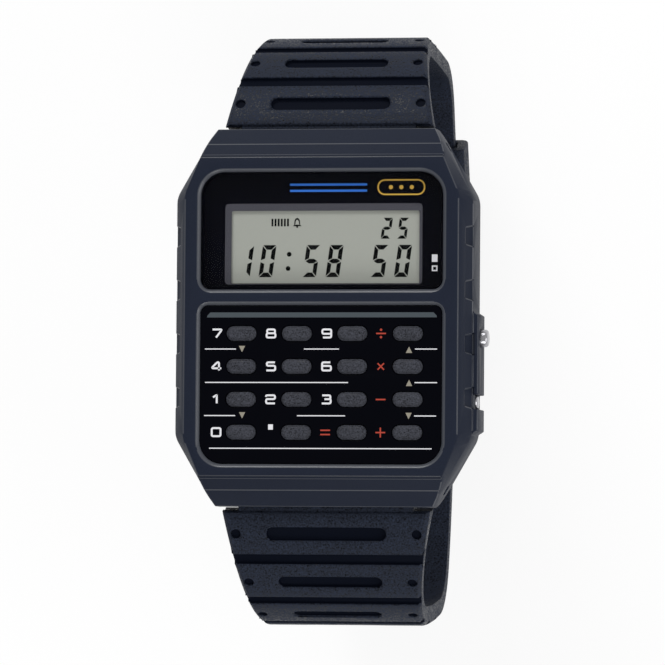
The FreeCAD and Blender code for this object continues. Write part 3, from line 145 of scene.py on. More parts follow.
def finish_of(name, color, roughness, metallic=0.0, spread=0.15, scale=9000.0, depth=0.1,
              stretch=(1, 1, 1), specular=0.5):
    """A material whose grain varies its colour, gloss and normal."""
    material = bpy.data.materials.new(name)
    material.use_nodes = True
    nodes, link = material.node_tree.nodes, material.node_tree.links.new
    shader = nodes["Principled BSDF"]
    shader.inputs["Metallic"].default_value = metallic
    shader.inputs["Specular IOR Level"].default_value = specular
    grain = nodes.new("ShaderNodeGroup")
    grain.node_tree = GRAIN
    given = {"Color": (*color, 1), "Spread": spread, "Roughness": roughness, "Scale": scale,
             "Stretch": stretch, "Depth": depth}
    for label, value in given.items():
        grain.inputs[label].default_value = value
    link(grain.outputs["Color"], shader.inputs["Base Color"])
    link(grain.outputs["Roughness"], shader.inputs["Roughness"])
    link(grain.outputs["Normal"], shader.inputs["Normal"])
    return material


def add_piece(name, mesh, material, body, replaced=()):
    """Put a finished mesh in the scene, tie it to its body and hide the CAD nodes that it replaces.
    """
    piece = bpy.data.objects.new(name, mesh)
    bpy.context.collection.objects.link(piece)
    if material:
        mesh.materials.clear()
        mesh.materials.append(material)
    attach(piece, body)
    if replaced:
        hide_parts(*replaced)


def baked(piece):
    """The evaluated mesh of an object whose modifiers are done with."""
    graph = bpy.context.evaluated_depsgraph_get()
    mesh = bpy.data.meshes.new_from_object(piece.evaluated_get(graph))
    bpy.data.objects.remove(piece)
    return mesh


MERGE_DISTANCE = 0.0005 * MM
FLAT_ANGLE = math.radians(0.4)
SHARP_ANGLE = math.radians(35.0)


def softened(node, width, segments=2, angle=30.0, share=None):
    """A copy of a CAD node's mesh with its sharp edges rounded.

    share gives the part of the full width that an edge at a given centre gets.
    """
    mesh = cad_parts[node].data.copy()
    work = bmesh.new()
    work.from_mesh(mesh)
    bmesh.ops.remove_doubles(work, verts=work.verts, dist=MERGE_DISTANCE)
    bmesh.ops.dissolve_limit(work, angle_limit=FLAT_ANGLE, verts=work.verts,
                             edges=work.edges, use_dissolve_boundaries=False)
    weights = work.edges.layers.float.new("bevel_weight_edge")
    for edge in work.edges:
        if len(edge.link_faces) == 2 and edge.calc_face_angle() > math.radians(angle):
            middle = (edge.verts[0].co + edge.verts[1].co) / 2
            edge[weights] = share(middle) if share else 1.0
    work.to_mesh(mesh)
    work.free()
    piece = bpy.data.objects.new("work", mesh)
    bpy.context.collection.objects.link(piece)
    bevel = piece.modifiers.new("round", "BEVEL")
    bevel.width = width
    bevel.segments = segments
    bevel.limit_method = "WEIGHT"
    bevel.use_clamp_overlap = False
    bevel.miter_outer = "MITER_ARC"
    mesh = baked(piece)
    low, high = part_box(node)
    for vert in mesh.vertices:
        vert.co = [min(max(value, low[axis]), high[axis]) for axis, value in enumerate(vert.co)]
    mesh.shade_smooth()
    mesh.set_sharp_from_angle(angle=SHARP_ANGLE)
    return mesh


CASE_ROUND = 0.1 * MM
CASE_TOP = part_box("case_body")[1].z
FACING_UP = 0.5
SLOPE_FIRST_Y, SLOPE_LOW = 17.0 * MM, 4.0 * MM
CREASE_Y, CREASE_HALF, CREASE_DEPTH = 18.2 * MM, 0.3 * MM, 0.13 * MM
# The thin strip at LINE_Y across each end slope is painted highlight in the lighter rim colour.
LINE_Y, LINE_HALF = 19.76 * MM, 0.05 * MM
ON_CUT = 0.002 * MM


def crease_slopes(mesh):
    """Press a shallow crease into both end slopes and cut out the thin strip above it that gets a
    painted highlight.
    """
    work = bmesh.new()
    work.from_mesh(mesh)
    for side in (1, -1):
        for y in (CREASE_Y - CREASE_HALF, CREASE_Y, CREASE_Y + CREASE_HALF,
                  LINE_Y - LINE_HALF, LINE_Y + LINE_HALF):
            faces = [face for face in work.faces if face.normal.z > FACING_UP
                     and face.calc_center_median().y * side > SLOPE_FIRST_Y]
            parts = set(faces)
            for face in faces:
                parts.update(face.edges)
                parts.update(face.verts)
            bmesh.ops.bisect_plane(work, geom=list(parts), plane_co=(0, side * y, 0),
                                   plane_no=(0, 1, 0))
        for vert in work.verts:
            if abs(vert.co.y * side - CREASE_Y) < ON_CUT and vert.co.z > SLOPE_LOW:
                vert.co.z -= CREASE_DEPTH
    work.to_mesh(mesh)
    work.free()


RESIN_COLOR = (0.0120, 0.0160, 0.0290)
# Painted highlight: the rim colour is a lighter copy of the resin for the window chamfers and the
# line across each slope; its lower roughness makes the rims glossier.
RIM_HIGHLIGHT_COLOR = (0.050, 0.055, 0.068)
# Painted highlight: the edge colour is a lighter resin for the narrow bevel strips that face upward.
EDGE_HIGHLIGHT_COLOR = (0.030, 0.035, 0.048)
resin = finish_of("case_resin_finish", RESIN_COLOR, 0.5, spread=0.6, depth=0.35, specular=0.09)
rim_highlight_finish = finish_of("window_rim_painted_highlight", RIM_HIGHLIGHT_COLOR, 0.33, spread=0.1, scale=14000.0)
edge_highlight_finish = finish_of("painted_edge_highlight", EDGE_HIGHLIGHT_COLOR, 0.4, spread=0.3)
case_mesh = softened("case_body", CASE_ROUND)
crease_slopes(case_mesh)
add_piece("case_shell", case_mesh, resin, "case", ["case_body"])
case_mesh.materials.append(rim_highlight_finish)
case_mesh.materials.append(edge_highlight_finish)
RIM_HIGHLIGHT_PLACE, EDGE_HIGHLIGHT_PLACE = 1, 2

panel_low, panel_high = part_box("keypad_panel")
glass_low, glass_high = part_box("front_glass")
RIM_REACH = 0.45 * MM
RIM_DEEP = 1.5 * RIM_REACH


def near_window(point):
    """True for a point on the chamfer round either window."""
    inside_x = abs(point.x) < panel_high.x + RIM_REACH
    windows = [(panel_low.y, panel_high.y), (glass_low.y, glass_high.y)]
    inside_y = any(low - RIM_REACH < point.y < high + RIM_REACH for low, high in windows)
    return inside_x and inside_y and point.z > CASE_TOP - RIM_DEEP


EDGE_WIDTH, EDGE_LEAST = 0.11 * MM, 0.35 * MM
EDGE_RISE = 0.1
RIM_RISE_LEAST, RIM_RISE_MOST = 0.2, 0.97
for face in case_mesh.polygons:
    corners = [case_mesh.vertices[index].co for index in face.vertices]
    spans = sorted((corners[i] - corners[i - 1]).length for i in range(len(corners)))
    is_strip = len(spans) == 4 and spans[1] < EDGE_WIDTH and spans[2] > EDGE_LEAST
    # Painted highlight on the narrow bevel strips of the rounds that face upward.
    if is_strip and face.center.z > SLOPE_LOW and face.normal.z > EDGE_RISE:
        face.material_index = EDGE_HIGHLIGHT_PLACE
    # Painted highlight: the window chamfers and the thin line across each end slope get the lighter
    # rim colour.
    on_line = face.normal.z > FACING_UP and abs(abs(face.center.y) - LINE_Y) < LINE_HALF
    on_rim = RIM_RISE_LEAST < face.normal.z < RIM_RISE_MOST and near_window(face.center)
    if on_line or on_rim:
        face.material_index = RIM_HIGHLIGHT_PLACE


# The movement is a moulded frame with a green circuit board, a chip and a quartz crystal.
# The display stands on striped rubber connectors; a steel cell lies under the board.
# All of it drops into the case from the back, so little of it shows in the finished watch.
BLACK_RUBBER = ((0.02, 0.02, 0.02), 0.6, 0.0)
SPRING_WIRE = ((0.55, 0.55, 0.56), 0.3, 1.0)
CLIP_STEEL = ((0.5, 0.5, 0.5), 0.35, 1.0)
# Each inner node with its colour, its roughness and how metallic it is
INNER_FINISHES = {
    "module_frame": ((0.55, 0.55, 0.52), 0.5, 0.0),
    "circuit_board": ((0.03, 0.16, 0.07), 0.4, 0.0),
    "driver_chip": ((0.02, 0.02, 0.022), 0.5, 0.0),
    "quartz_crystal": ((0.6, 0.6, 0.58), 0.3, 1.0),
    "switch_contacts": ((0.6, 0.45, 0.2), 0.3, 1.0),
    "button_cell": ((0.6, 0.6, 0.58), 0.25, 1.0),
    "cell_clip": ((0.55, 0.55, 0.55), 0.35, 1.0),
    "insulating_film": ((0.5, 0.38, 0.12), 0.3, 0.0),
    "sounder_disc": ((0.65, 0.5, 0.24), 0.3, 1.0),
    "sounder_spring": SPRING_WIRE,
    "connector_strips": ((0.35, 0.35, 0.37), 0.6, 0.0),
    "key_rubber_sheet": ((0.25, 0.25, 0.26), 0.6, 0.0),
    "glass_seal": BLACK_RUBBER,
    "back_gasket": BLACK_RUBBER,
    "button_seals": BLACK_RUBBER,
    "mode_spring": SPRING_WIRE,
    "adjust_spring": SPRING_WIRE,
    "mode_clip": CLIP_STEEL,
    "adjust_clip": CLIP_STEEL,
    "lcd_reflector": ((0.42, 0.44, 0.39), 0.4, 0.0),
}


def dress(node, finish):
    """Give a CAD node its material."""
    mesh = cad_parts[node].data
    mesh.materials.clear()
    mesh.materials.append(finish)


for node, (color, roughness, metallic) in INNER_FINISHES.items():
    dress(node, finish_of(f"{node}_finish", color, roughness, metallic=metallic, scale=6000.0))


# Carbon stripes of the two rubber connectors between board and display.
# Each connector is a sandwich of clear and black rubber, so its side shows even stripes.
def make_bar_row():
    """A row of equal bars on a straight line, as geometry nodes."""
    tree = bpy.data.node_groups.new("bar_row", "GeometryNodeTree")
    for label, kind in (("Count", "NodeSocketInt"), ("Start", "NodeSocketVector"),
                        ("Step", "NodeSocketVector"), ("Bar", "NodeSocketVector"),
                        ("Finish", "NodeSocketMaterial")):
        tree.interface.new_socket(name=label, in_out="INPUT", socket_type=kind)
    tree.interface.new_socket(name="Geometry", in_out="OUTPUT", socket_type="NodeSocketGeometry")
    add, link = tree.nodes.new, tree.links.new
    given, result = add("NodeGroupInput"), add("NodeGroupOutput")
    line, bar = add("GeometryNodeMeshLine"), add("GeometryNodeMeshCube")
    spread, real = add("GeometryNodeInstanceOnPoints"), add("GeometryNodeRealizeInstances")
    paint = add("GeometryNodeSetMaterial")
    link(given.outputs["Count"], line.inputs["Count"])
    link(given.outputs["Start"], line.inputs["Start Location"])
    link(given.outputs["Step"], line.inputs["Offset"])
    link(given.outputs["Bar"], bar.inputs["Size"])
    link(line.outputs["Mesh"], spread.inputs["Points"])
    link(bar.outputs["Mesh"], spread.inputs["Instance"])
    link(spread.outputs["Instances"], real.inputs["Geometry"])
    link(real.outputs["Geometry"], paint.inputs["Geometry"])
    link(given.outputs["Finish"], paint.inputs["Material"])
    link(paint.outputs["Geometry"], result.inputs["Geometry"])
    return tree


BAR_ROW = make_bar_row()


def row_of_bars(count, start, step, bar, finish):
    """A mesh of equal bars, made by the bar_row tree."""
    holder = bpy.data.objects.new("work", bpy.data.meshes.new("work"))
    bpy.context.collection.objects.link(holder)
    modifier = holder.modifiers.new("bars", "NODES")
    modifier.node_group = BAR_ROW
    values = {"Count": count, "Start": start, "Step": step, "Bar": bar, "Finish": finish}
    for item in BAR_ROW.interface.items_tree:
        if item.in_out == "INPUT":
            modifier[item.identifier] = values[item.name]
    return baked(holder)


STRIPE_PITCH = 0.5 * MM
STRIPE = Vector((0.2, 0.02, 0.6)) * MM
CARBON_COLOR = (0.02, 0.02, 0.02)
strips_low, strips_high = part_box("connector_strips")
first_stripe = Vector((strips_low.x + STRIPE_PITCH, strips_low.y - STRIPE.y / 2,
                       (strips_low.z + strips_high.z) / 2))
stripe_count = int((strips_high.x - strips_low.x) / STRIPE_PITCH) - 1
carbon = finish_of("stripe_carbon", CARBON_COLOR, 0.6, scale=6000.0)
stripes = row_of_bars(stripe_count, first_stripe, Vector((STRIPE_PITCH, 0, 0)), STRIPE, carbon)
add_piece("connector_stripes", stripes, None, "case")


# The display is a grey-green liquid crystal cell; its segments are dark, slanted bars.
# A thin film of the cell's own colour is laid on it, and the segments lie on that film.
# It shows digits, a row of small bars and a bell only.
PRINT = 0.015 * MM
LCD_COLOR = (0.318, 0.330, 0.298)
SEGMENT_COLOR = (0.0015, 0.0020, 0.0020)
lcd_finish = finish_of("display_cell", LCD_COLOR, 0.35, spread=0.03, scale=2000.0, depth=0.0,
                       specular=0.1)
segment_finish = finish_of("display_segment", SEGMENT_COLOR, 0.5, spread=0.05, scale=3000.0,
                           depth=0.0, specular=0.03)
dress("lcd_panel", lcd_finish)
film_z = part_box("lcd_panel")[1].z
segment_z = film_z + PRINT


def flat_pieces(outlines, z, thick):
    """Thin plates with the given outlines in millimetres, as one mesh."""
    work = bmesh.new()
    for outline in outlines:
        low = [work.verts.new((x * MM, y * MM, z)) for x, y in outline]
        high = [work.verts.new((x * MM, y * MM, z + thick)) for x, y in outline]
        work.faces.new(low[::-1])
        work.faces.new(high)
        for i in range(len(outline)):
            j = (i + 1) % len(outline)
            work.faces.new((low[i], low[j], high[j], high[i]))
    bmesh.ops.recalc_face_normals(work, faces=work.faces)
    mesh = bpy.data.meshes.new("plates")
    work.to_mesh(mesh)
    work.free()
    return mesh


def bar(x0, y0, x1, y1):
    """The outline of a rectangle, anticlockwise."""
    return [(x0, y0), (x1, y0), (x1, y1), (x0, y1)]


def ring_points(x, y, radius, count=20):
    """Even points on a circle, anticlockwise."""
    return [(x + radius * math.cos(2 * math.pi * i / count),
             y + radius * math.sin(2 * math.pi * i / count)) for i in range(count)]


FILM = (-11.9, 3.5, 12.3, 15.0)
add_piece("display_film", flat_pieces([bar(*FILM)], film_z, PRINT), lcd_finish, "case")

# Lit segments of each digit, lettered clockwise from the top, with g in the middle
SEGMENTS = {"0": "abcdef", "1": "bc", "5": "acdfg", "8": "abcdefg", "2": "abged"}
SLANT = math.tan(math.radians(8.0))
STROKE, SEGMENT_GAP = 0.33, 0.035


def digit_outlines(digit, x, y, width, height):
    """The lit segments of one slanted digit whose lower left corner is at x, y."""
    t, gap = STROKE * width, SEGMENT_GAP * width
    half = height / 2
    shapes = {
        "a": [(gap, height), (width - gap, height), (width - t, height - t), (t, height - t)],
        "d": [(t, t), (width - t, t), (width - gap, 0), (gap, 0)],
        "g": [(gap * 2, half), (t, half + t / 2), (width - t, half + t / 2),
              (width - gap * 2, half), (width - t, half - t / 2), (t, half - t / 2)],
        "f": [(0, half + gap * 2), (0, height - gap * 2), (t - gap, height - t - gap),
              (t - gap, half + t / 2 + gap)],
        "e": [(0, gap * 2), (0, half - gap * 2), (t - gap, half - t / 2 - gap), (t - gap, t + gap)],
        "b": [(width, half + gap * 2), (width, height - gap * 2),
              (width - t + gap, height - t - gap), (width - t + gap, half + t / 2 + gap)],
        "c": [(width, gap * 2), (width, half - gap * 2), (width - t + gap, half - t / 2 - gap),
              (width - t + gap, t + gap)],
    }
    return [[(x + px + py * SLANT, y + py) for px, py in shapes[name]]
            for name in SEGMENTS[digit]]


# Both rows of digits: y of the row, width and height of a digit, and each digit with its x
TIME_ROW = (4.57, (1.56, 3.63),
            (("1", -10.10), ("0", -7.52), ("5", -2.45), ("8", 0.22), ("5", 5.40), ("0", 8.10)))
DATE_ROW = (8.91, (1.08, 2.37), (("2", 6.55), ("5", 8.42)))
COLON = ((-3.98, 7.16), (-4.10, 5.54))
COLON_RADIUS = 0.27
display_marks = []
for row_y, digit_size, places in (TIME_ROW, DATE_ROW):
    for digit, x in places:
        display_marks += digit_outlines(digit, x, row_y, *digit_size)
display_marks += [ring_points(x, y, COLON_RADIUS) for x, y in COLON]
add_piece("display_segments", flat_pieces(display_marks, segment_z, PRINT), segment_finish, "case")


def ring_plate(outer, inner, z, thick):
    """A thin flat ring between two outlines with equally many points."""
    count = len(outer)
    levels = [(outer, z), (outer, z + thick), (inner, z + thick), (inner, z)]
    verts = [(x * MM, y * MM, height) for points, height in levels for x, y in points]
    faces = []
    for level in range(4):
        a, b = level * count, (level + 1) % 4 * count
        for i in range(count):
            j = (i + 1) % count
            faces.append((a + i, a + j, b + j, b + i))
    mesh = bpy.data.meshes.new("ring")
    mesh.from_pydata(verts, [], faces)
    work = bmesh.new()
    work.from_mesh(mesh)
    bmesh.ops.recalc_face_normals(work, faces=work.faces)
    work.to_mesh(mesh)
    work.free()
    return mesh


BELL = [(-0.5, -0.42), (-0.34, -0.26), (-0.31, 0.2), (-0.19, 0.44), (0, 0.53), (0.19, 0.44),
        (0.31, 0.2), (0.34, -0.26), (0.5, -0.42)]
BELL_X, BELL_Y = -3.08, 10.78
BELL_INSIDE = 0.6
CLAPPER_DROP, CLAPPER_RADIUS = 0.5, 0.11
bell = ring_plate([(BELL_X + x, BELL_Y + y) for x, y in BELL],
                  [(BELL_X + x * BELL_INSIDE, BELL_Y + y * BELL_INSIDE) for x, y in BELL],
                  segment_z, PRINT)
add_piece("display_bell", bell, segment_finish, "case")
clapper = flat_pieces([ring_points(BELL_X, BELL_Y - CLAPPER_DROP, CLAPPER_RADIUS)], segment_z, PRINT)
add_piece("bell_clapper", clapper, segment_finish, "case")

SIGNAL_COUNT, SIGNAL_X, SIGNAL_PITCH = 6, -5.95, 0.36
SIGNAL_WIDTH, SIGNAL_HEIGHT = 0.21, 0.86
signal_bars = row_of_bars(
    SIGNAL_COUNT, Vector((SIGNAL_X * MM, BELL_Y * MM, segment_z + PRINT / 2)),
    Vector((SIGNAL_PITCH * MM, 0, 0)), Vector((SIGNAL_WIDTH * MM, SIGNAL_HEIGHT * MM, PRINT)),
    segment_finish)
add_piece("signal_bars", signal_bars, None, "case")


# The front glass is one clear moulding, its underside printed black round the display.
# A flat grey band round the display is painted highlight for the lit inner wall of the opening, so it
# is wider at the left and the top.
# Two blue stripes, a yellow frame with three dots and two white squares are printed beside it.
GLASS_ROUND, GLASS_EDGE = 1.1, 0.08 * MM
GLASS_IOR, GLASS_ROUGHNESS, GLASS_SHINE = 1.12, 0.02, 0.03


def clear_glass():
    """Clear plastic that lets light through to what lies under it."""
    material = bpy.data.materials.new("clear_window")
    material.use_nodes = True
    nodes, link = material.node_tree.nodes, material.node_tree.links.new
    shader = nodes["Principled BSDF"]
    shader.inputs["Base Color"].default_value = (1, 1, 1, 1)
    shader.inputs["Roughness"].default_value = GLASS_ROUGHNESS
    shader.inputs["IOR"].default_value = GLASS_IOR
    shader.inputs["Transmission Weight"].default_value = 1.0
    shader.inputs["Specular IOR Level"].default_value = GLASS_SHINE
    through = nodes.new("ShaderNodeBsdfTransparent")
    rays = nodes.new("ShaderNodeLightPath")
    either = nodes.new("ShaderNodeMath")
    either.operation = "MAXIMUM"
    link(rays.outputs["Is Shadow Ray"], either.inputs[0])
    link(rays.outputs["Is Diffuse Ray"], either.inputs[1])
    mix = nodes.new("ShaderNodeMixShader")
    link(either.outputs[0], mix.inputs["Fac"])
    link(shader.outputs["BSDF"], mix.inputs[1])
    link(through.outputs["BSDF"], mix.inputs[2])
    link(mix.outputs["Shader"], nodes["Material Output"].inputs["Surface"])
    return material


BLACK_COLOR = (0.0008, 0.0010, 0.0028)
black_print = finish_of("black_print", BLACK_COLOR, 0.35, spread=0.05, depth=0.0, specular=0.03)
dress("window_mask", black_print)
glass_mesh = softened("front_glass", GLASS_EDGE)
add_piece("window_glass", glass_mesh, clear_glass(), "case", ["front_glass"])
glass_mesh.materials.append(black_print)
WALL_PLACE = 1
for face in glass_mesh.polygons:
    if abs(face.normal.z) < FACING_UP:
        face.material_index = WALL_PLACE


def round_box(x0, y0, x1, y1, radius, count=6):
    """The outline of a rectangle with rounded corners, anticlockwise."""
    points = []
    for corner, (x, y) in enumerate(((x1 - radius, y1 - radius), (x0 + radius, y1 - radius),
                                     (x0 + radius, y0 + radius), (x1 - radius, y0 + radius))):
        for i in range(count + 1):
            a = math.pi / 2 * (corner + i / count)
            points.append((x + radius * math.cos(a), y + radius * math.sin(a)))
    return points


BORDER_LIFT = 0.02 * MM
BORDER_GAP = 0.03
DISPLAY_HOLE, HOLE_ROUND = (-10.655, 3.75, 11.095, 12.15), 0.2
# Painted highlight: a flat grey band where the lit inner wall of the display opening shows, wide at
# the left and the top, narrow at the right and the bottom.
LIT_WALL_OUTER, LIT_WALL_ROUND = (-11.38, 3.72, 11.40, 12.92), 0.45
LIT_WALL_INNER = (-10.62, 3.80, 11.06, 12.10)
LIT_WALL_COLOR = (0.048, 0.048, 0.060)
border_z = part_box("window_mask")[1].z + BORDER_LIFT
glass_outline = round_box(glass_low.x / MM + BORDER_GAP, glass_low.y / MM + BORDER_GAP,
                          glass_high.x / MM - BORDER_GAP, glass_high.y / MM - BORDER_GAP, GLASS_ROUND)
border = ring_plate(glass_outline, round_box(*DISPLAY_HOLE, HOLE_ROUND), border_z, PRINT)
add_piece("black_border", border, black_print, "case")
print_z = border_z + PRINT
lit_wall_finish = finish_of("painted_wall_highlight", LIT_WALL_COLOR, 0.5, spread=0.05, depth=0.0, specular=0.2)
lit_wall_band = ring_plate(round_box(*LIT_WALL_OUTER, LIT_WALL_ROUND), round_box(*LIT_WALL_INNER, HOLE_ROUND),
                   print_z, PRINT)
add_piece("display_wall_highlight", lit_wall_band, lit_wall_finish, "case")


def print_finish(name, color):
    """A slightly uneven printed ink."""
    return finish_of(name, color, 0.5, spread=0.06, scale=12000.0, depth=0.05, specular=0.2)


blue_print = print_finish("blue_print", (0.03, 0.16, 0.62))
yellow_print = print_finish("yellow_print", (0.62, 0.38, 0.06))
white_print = print_finish("white_print", (0.72, 0.72, 0.75))

BLUE_LEFT, BLUE_RIGHT = -3.9, 5.0
BLUE_LINES, BLUE_HEIGHT = (14.95, 14.25), 0.25
blue_stripes = [bar(BLUE_LEFT, y, BLUE_RIGHT, y + BLUE_HEIGHT) for y in BLUE_LINES]
add_piece("blue_stripes", flat_pieces(blue_stripes, print_z, PRINT), blue_print, "case")

YELLOW_BOX, YELLOW_ROUND, YELLOW_LINE = (6.2, 13.85, 11.7, 15.65), 0.85, 0.16
left, low, right, high = YELLOW_BOX
yellow_inside = (left + YELLOW_LINE, low + YELLOW_LINE, right - YELLOW_LINE, high - YELLOW_LINE)
yellow_frame = ring_plate(round_box(*YELLOW_BOX, YELLOW_ROUND),
                          round_box(*yellow_inside, YELLOW_ROUND - YELLOW_LINE), print_z, PRINT)
add_piece("yellow_frame", yellow_frame, yellow_print, "case")
DOT_PLACES, DOT_RADIUS = (7.75, 8.95, 10.15), 0.24
dots = [ring_points(x, (low + high) / 2, DOT_RADIUS) for x in DOT_PLACES]
add_piece("yellow_dots", flat_pieces(dots, print_z, PRINT), yellow_print, "case")

SQUARE_LEFT, SQUARE_RIGHT, SQUARE_LINE = 12.5, 13.15, 0.15
FULL_LOW, FULL_HIGH = 6.25, 7.1
OPEN_LOW, OPEN_HIGH = 5.2, 5.85
squares = [bar(SQUARE_LEFT, FULL_LOW, SQUARE_RIGHT, FULL_HIGH),
           bar(SQUARE_LEFT, OPEN_LOW, SQUARE_RIGHT, OPEN_LOW + SQUARE_LINE),
           bar(SQUARE_LEFT, OPEN_HIGH - SQUARE_LINE, SQUARE_RIGHT, OPEN_HIGH)]
squares += [bar(x, OPEN_LOW + SQUARE_LINE, x + SQUARE_LINE, OPEN_HIGH - SQUARE_LINE)
            for x in (SQUARE_LEFT, SQUARE_RIGHT - SQUARE_LINE)]
add_piece("side_squares", flat_pieces(squares, print_z, PRINT), white_print, "case")


# The keypad panel is gloss black plastic with printed digits and fine rules.
# The digits are white, the signs of arithmetic orange, and a grey strip runs along the top.
# It lies on a ledge of the case and has sixteen openings for the keys.
PANEL_COLOR, PANEL_EDGE = (0.0008, 0.0010, 0.0026), 0.05 * MM
panel_finish = finish_of("panel_gloss", PANEL_COLOR, 0.25, spread=0.05, scale=1500.0, depth=0.0,
                         specular=0.04)
add_piece("key_panel", softened("keypad_panel", PANEL_EDGE), panel_finish, "case",
          ["keypad_panel"])
panel_z = panel_high.z
DIGIT_COLUMNS = (-12.01, -5.74, 0.70, 6.95)
DIGIT_ROWS = (-1.95, -5.70, -9.45, -13.20)
LABELS = ("789", "456", "123", "0")
DIGIT_WIDTH, DIGIT_HEIGHT, DIGIT_LINE = 1.02, 0.92, 0.215
# Centre lines of the digits in a unit square; a path is closed where the flag is true
DIGIT_PATHS = {
    "0": [(True, [(-.5, -.5), (.5, -.5), (.5, .5), (-.5, .5)])],
    "1": [(False, [(-.38, .24), (-.02, .5), (.04, .5), (.04, -.5)])],
    "2": [(False, [(-.5, .3), (-.5, .5), (.5, .5), (.5, .03), (-.5, .03), (-.5, -.5), (.5, -.5)])],
    "3": [(False, [(-.46, .5), (.46, .5), (.46, .03), (-.2, .03)]),
          (False, [(.3, .03), (.5, .03), (.5, -.5), (-.5, -.5)])],
    "4": [(False, [(.26, -.5), (.26, .5), (.06, .5), (-.5, -.1), (-.5, -.24), (.52, -.24)])],
    "5": [(False, [(.46, .5), (-.45, .5), (-.45, .08), (.5, .08), (.5, -.5), (-.5, -.5)])],
    "6": [(True, [(-.5, -.5), (.5, -.5), (.5, .06), (-.5, .06)]),
          (False, [(.42, .5), (-.5, .5), (-.5, -.1)])],
    "7": [(False, [(-.5, .5), (.5, .5), (.5, .38), (-.1, -.5)])],
    "8": [(True, [(-.44, .03), (.44, .03), (.44, .5), (-.44, .5)]),
          (True, [(-.5, -.5), (.5, -.5), (.5, .03), (-.5, .03)])],
    "9": [(True, [(-.5, -.04), (.5, -.04), (.5, .5), (-.5, .5)]),
          (False, [(.5, .1), (.5, -.5), (-.42, -.5)])],
}
CORNER_CUT, CORNER_SHARE, CORNER_STEPS = 0.2, 0.45, 4


def rounded_path(points, closed):
    """The path with each corner cut by a short curve."""
    result = []
    count = len(points)
    for i, point in enumerate(points):
        if not closed and i in (0, count - 1):
            result.append(Vector(point))
            continue
        corner = Vector(point)
        before, after = Vector(points[i - 1]) - corner, Vector(points[(i + 1) % count]) - corner
        start = corner + before.normalized() * min(CORNER_CUT, before.length * CORNER_SHARE)
        finish = corner + after.normalized() * min(CORNER_CUT, after.length * CORNER_SHARE)
        for step in range(CORNER_STEPS + 1):
            t = step / CORNER_STEPS
            result.append(start * (1 - t) ** 2 + corner * 2 * t * (1 - t) + finish * t ** 2)
    return result


SHARPEST_TURN = 0.5


def ribbon(work, path, closed, width, z, thick):
    """A flat line of even width along a path, added to a bmesh."""
    count = len(path)
    rows = []
    for i, point in enumerate(path):
        ahead = path[(i + 1) % count] if closed or i < count - 1 else point
        behind = path[i - 1] if closed or i > 0 else point
        before = (point - behind).normalized() if point != behind else (ahead - point).normalized()
        after = (ahead - point).normalized() if point != ahead else before
        middle = (before + after).normalized()
        across = Vector((-middle.y, middle.x)) * (width / 2 / max(SHARPEST_TURN, middle.dot(before)))
        corners = ((point - across, z), (point + across, z), (point + across, z + thick),
                   (point - across, z + thick))
        rows.append([work.verts.new((p.x * MM, p.y * MM, height)) for p, height in corners])
    for i in range(count if closed else count - 1):
        row, following = rows[i], rows[(i + 1) % count]
        for k in range(4):
            work.faces.new((row[k], row[(k + 1) % 4], following[(k + 1) % 4], following[k]))
    if not closed:
        work.faces.new(rows[0][::-1])
        work.faces.new(rows[-1])


# A digit's second stroke is a little thicker than its first, so that no two tops lie in one plane
SECOND_STROKE = 0.2
work = bmesh.new()
for line, row in enumerate(LABELS):
    for column, text in enumerate(row):
        for part, (closed, points) in enumerate(DIGIT_PATHS[text]):
            centre = Vector((DIGIT_COLUMNS[column], DIGIT_ROWS[line]))
            path = [centre + Vector((p.x * DIGIT_WIDTH, p.y * DIGIT_HEIGHT))
                    for p in rounded_path(points, closed)]
            ribbon(work, path, closed, DIGIT_LINE, panel_z, PRINT * (1 + SECOND_STROKE * part))
bmesh.ops.recalc_face_normals(work, faces=work.faces)
digits = bpy.data.meshes.new("printed_digits")
work.to_mesh(digits)
work.free()
add_piece("printed_digits", digits, white_print, "case")

SIGN_HALF, SIGN_STROKE = 0.56, 0.08
DIVIDE_DOT, DIVIDE_LIFT = 0.14, 0.42
EQUALS_SHIFT, EQUALS_LIFT = 0.1, 0.24
TIMES_REACH, TIMES_STROKE = 0.42, 0.11
sign_x = DIGIT_COLUMNS[3]
divide_y, times_y, minus_y, plus_y = DIGIT_ROWS


def sign_bar(x, y):
    """One level stroke of a sign."""
    return bar(x - SIGN_HALF, y - SIGN_STROKE, x + SIGN_HALF, y + SIGN_STROKE)


signs = [sign_bar(sign_x, y) for y in (divide_y, minus_y, plus_y)]
signs += [ring_points(sign_x, divide_y + lift, DIVIDE_DOT) for lift in (-DIVIDE_LIFT, DIVIDE_LIFT)]
for low, high in ((SIGN_STROKE, SIGN_HALF), (-SIGN_HALF, -SIGN_STROKE)):
    signs.append(bar(sign_x - SIGN_STROKE, plus_y + low, sign_x + SIGN_STROKE, plus_y + high))
signs += [sign_bar(DIGIT_COLUMNS[2] - EQUALS_SHIFT, plus_y + lift)
          for lift in (-EQUALS_LIFT, EQUALS_LIFT)]
arm, tip = TIMES_REACH, TIMES_REACH - TIMES_STROKE
cross = [(arm, tip), (TIMES_STROKE, 0), (arm, -tip), (tip, -arm), (0, -TIMES_STROKE), (-tip, -arm),
         (-arm, -tip), (-TIMES_STROKE, 0), (-arm, tip), (-tip, arm), (0, TIMES_STROKE), (tip, arm)]
signs.append([(sign_x + x, times_y + y) for x, y in cross])
orange_print = print_finish("orange_print", (0.40, 0.052, 0.032))
add_piece("printed_signs", flat_pieces(signs, panel_z, PRINT), orange_print, "case")

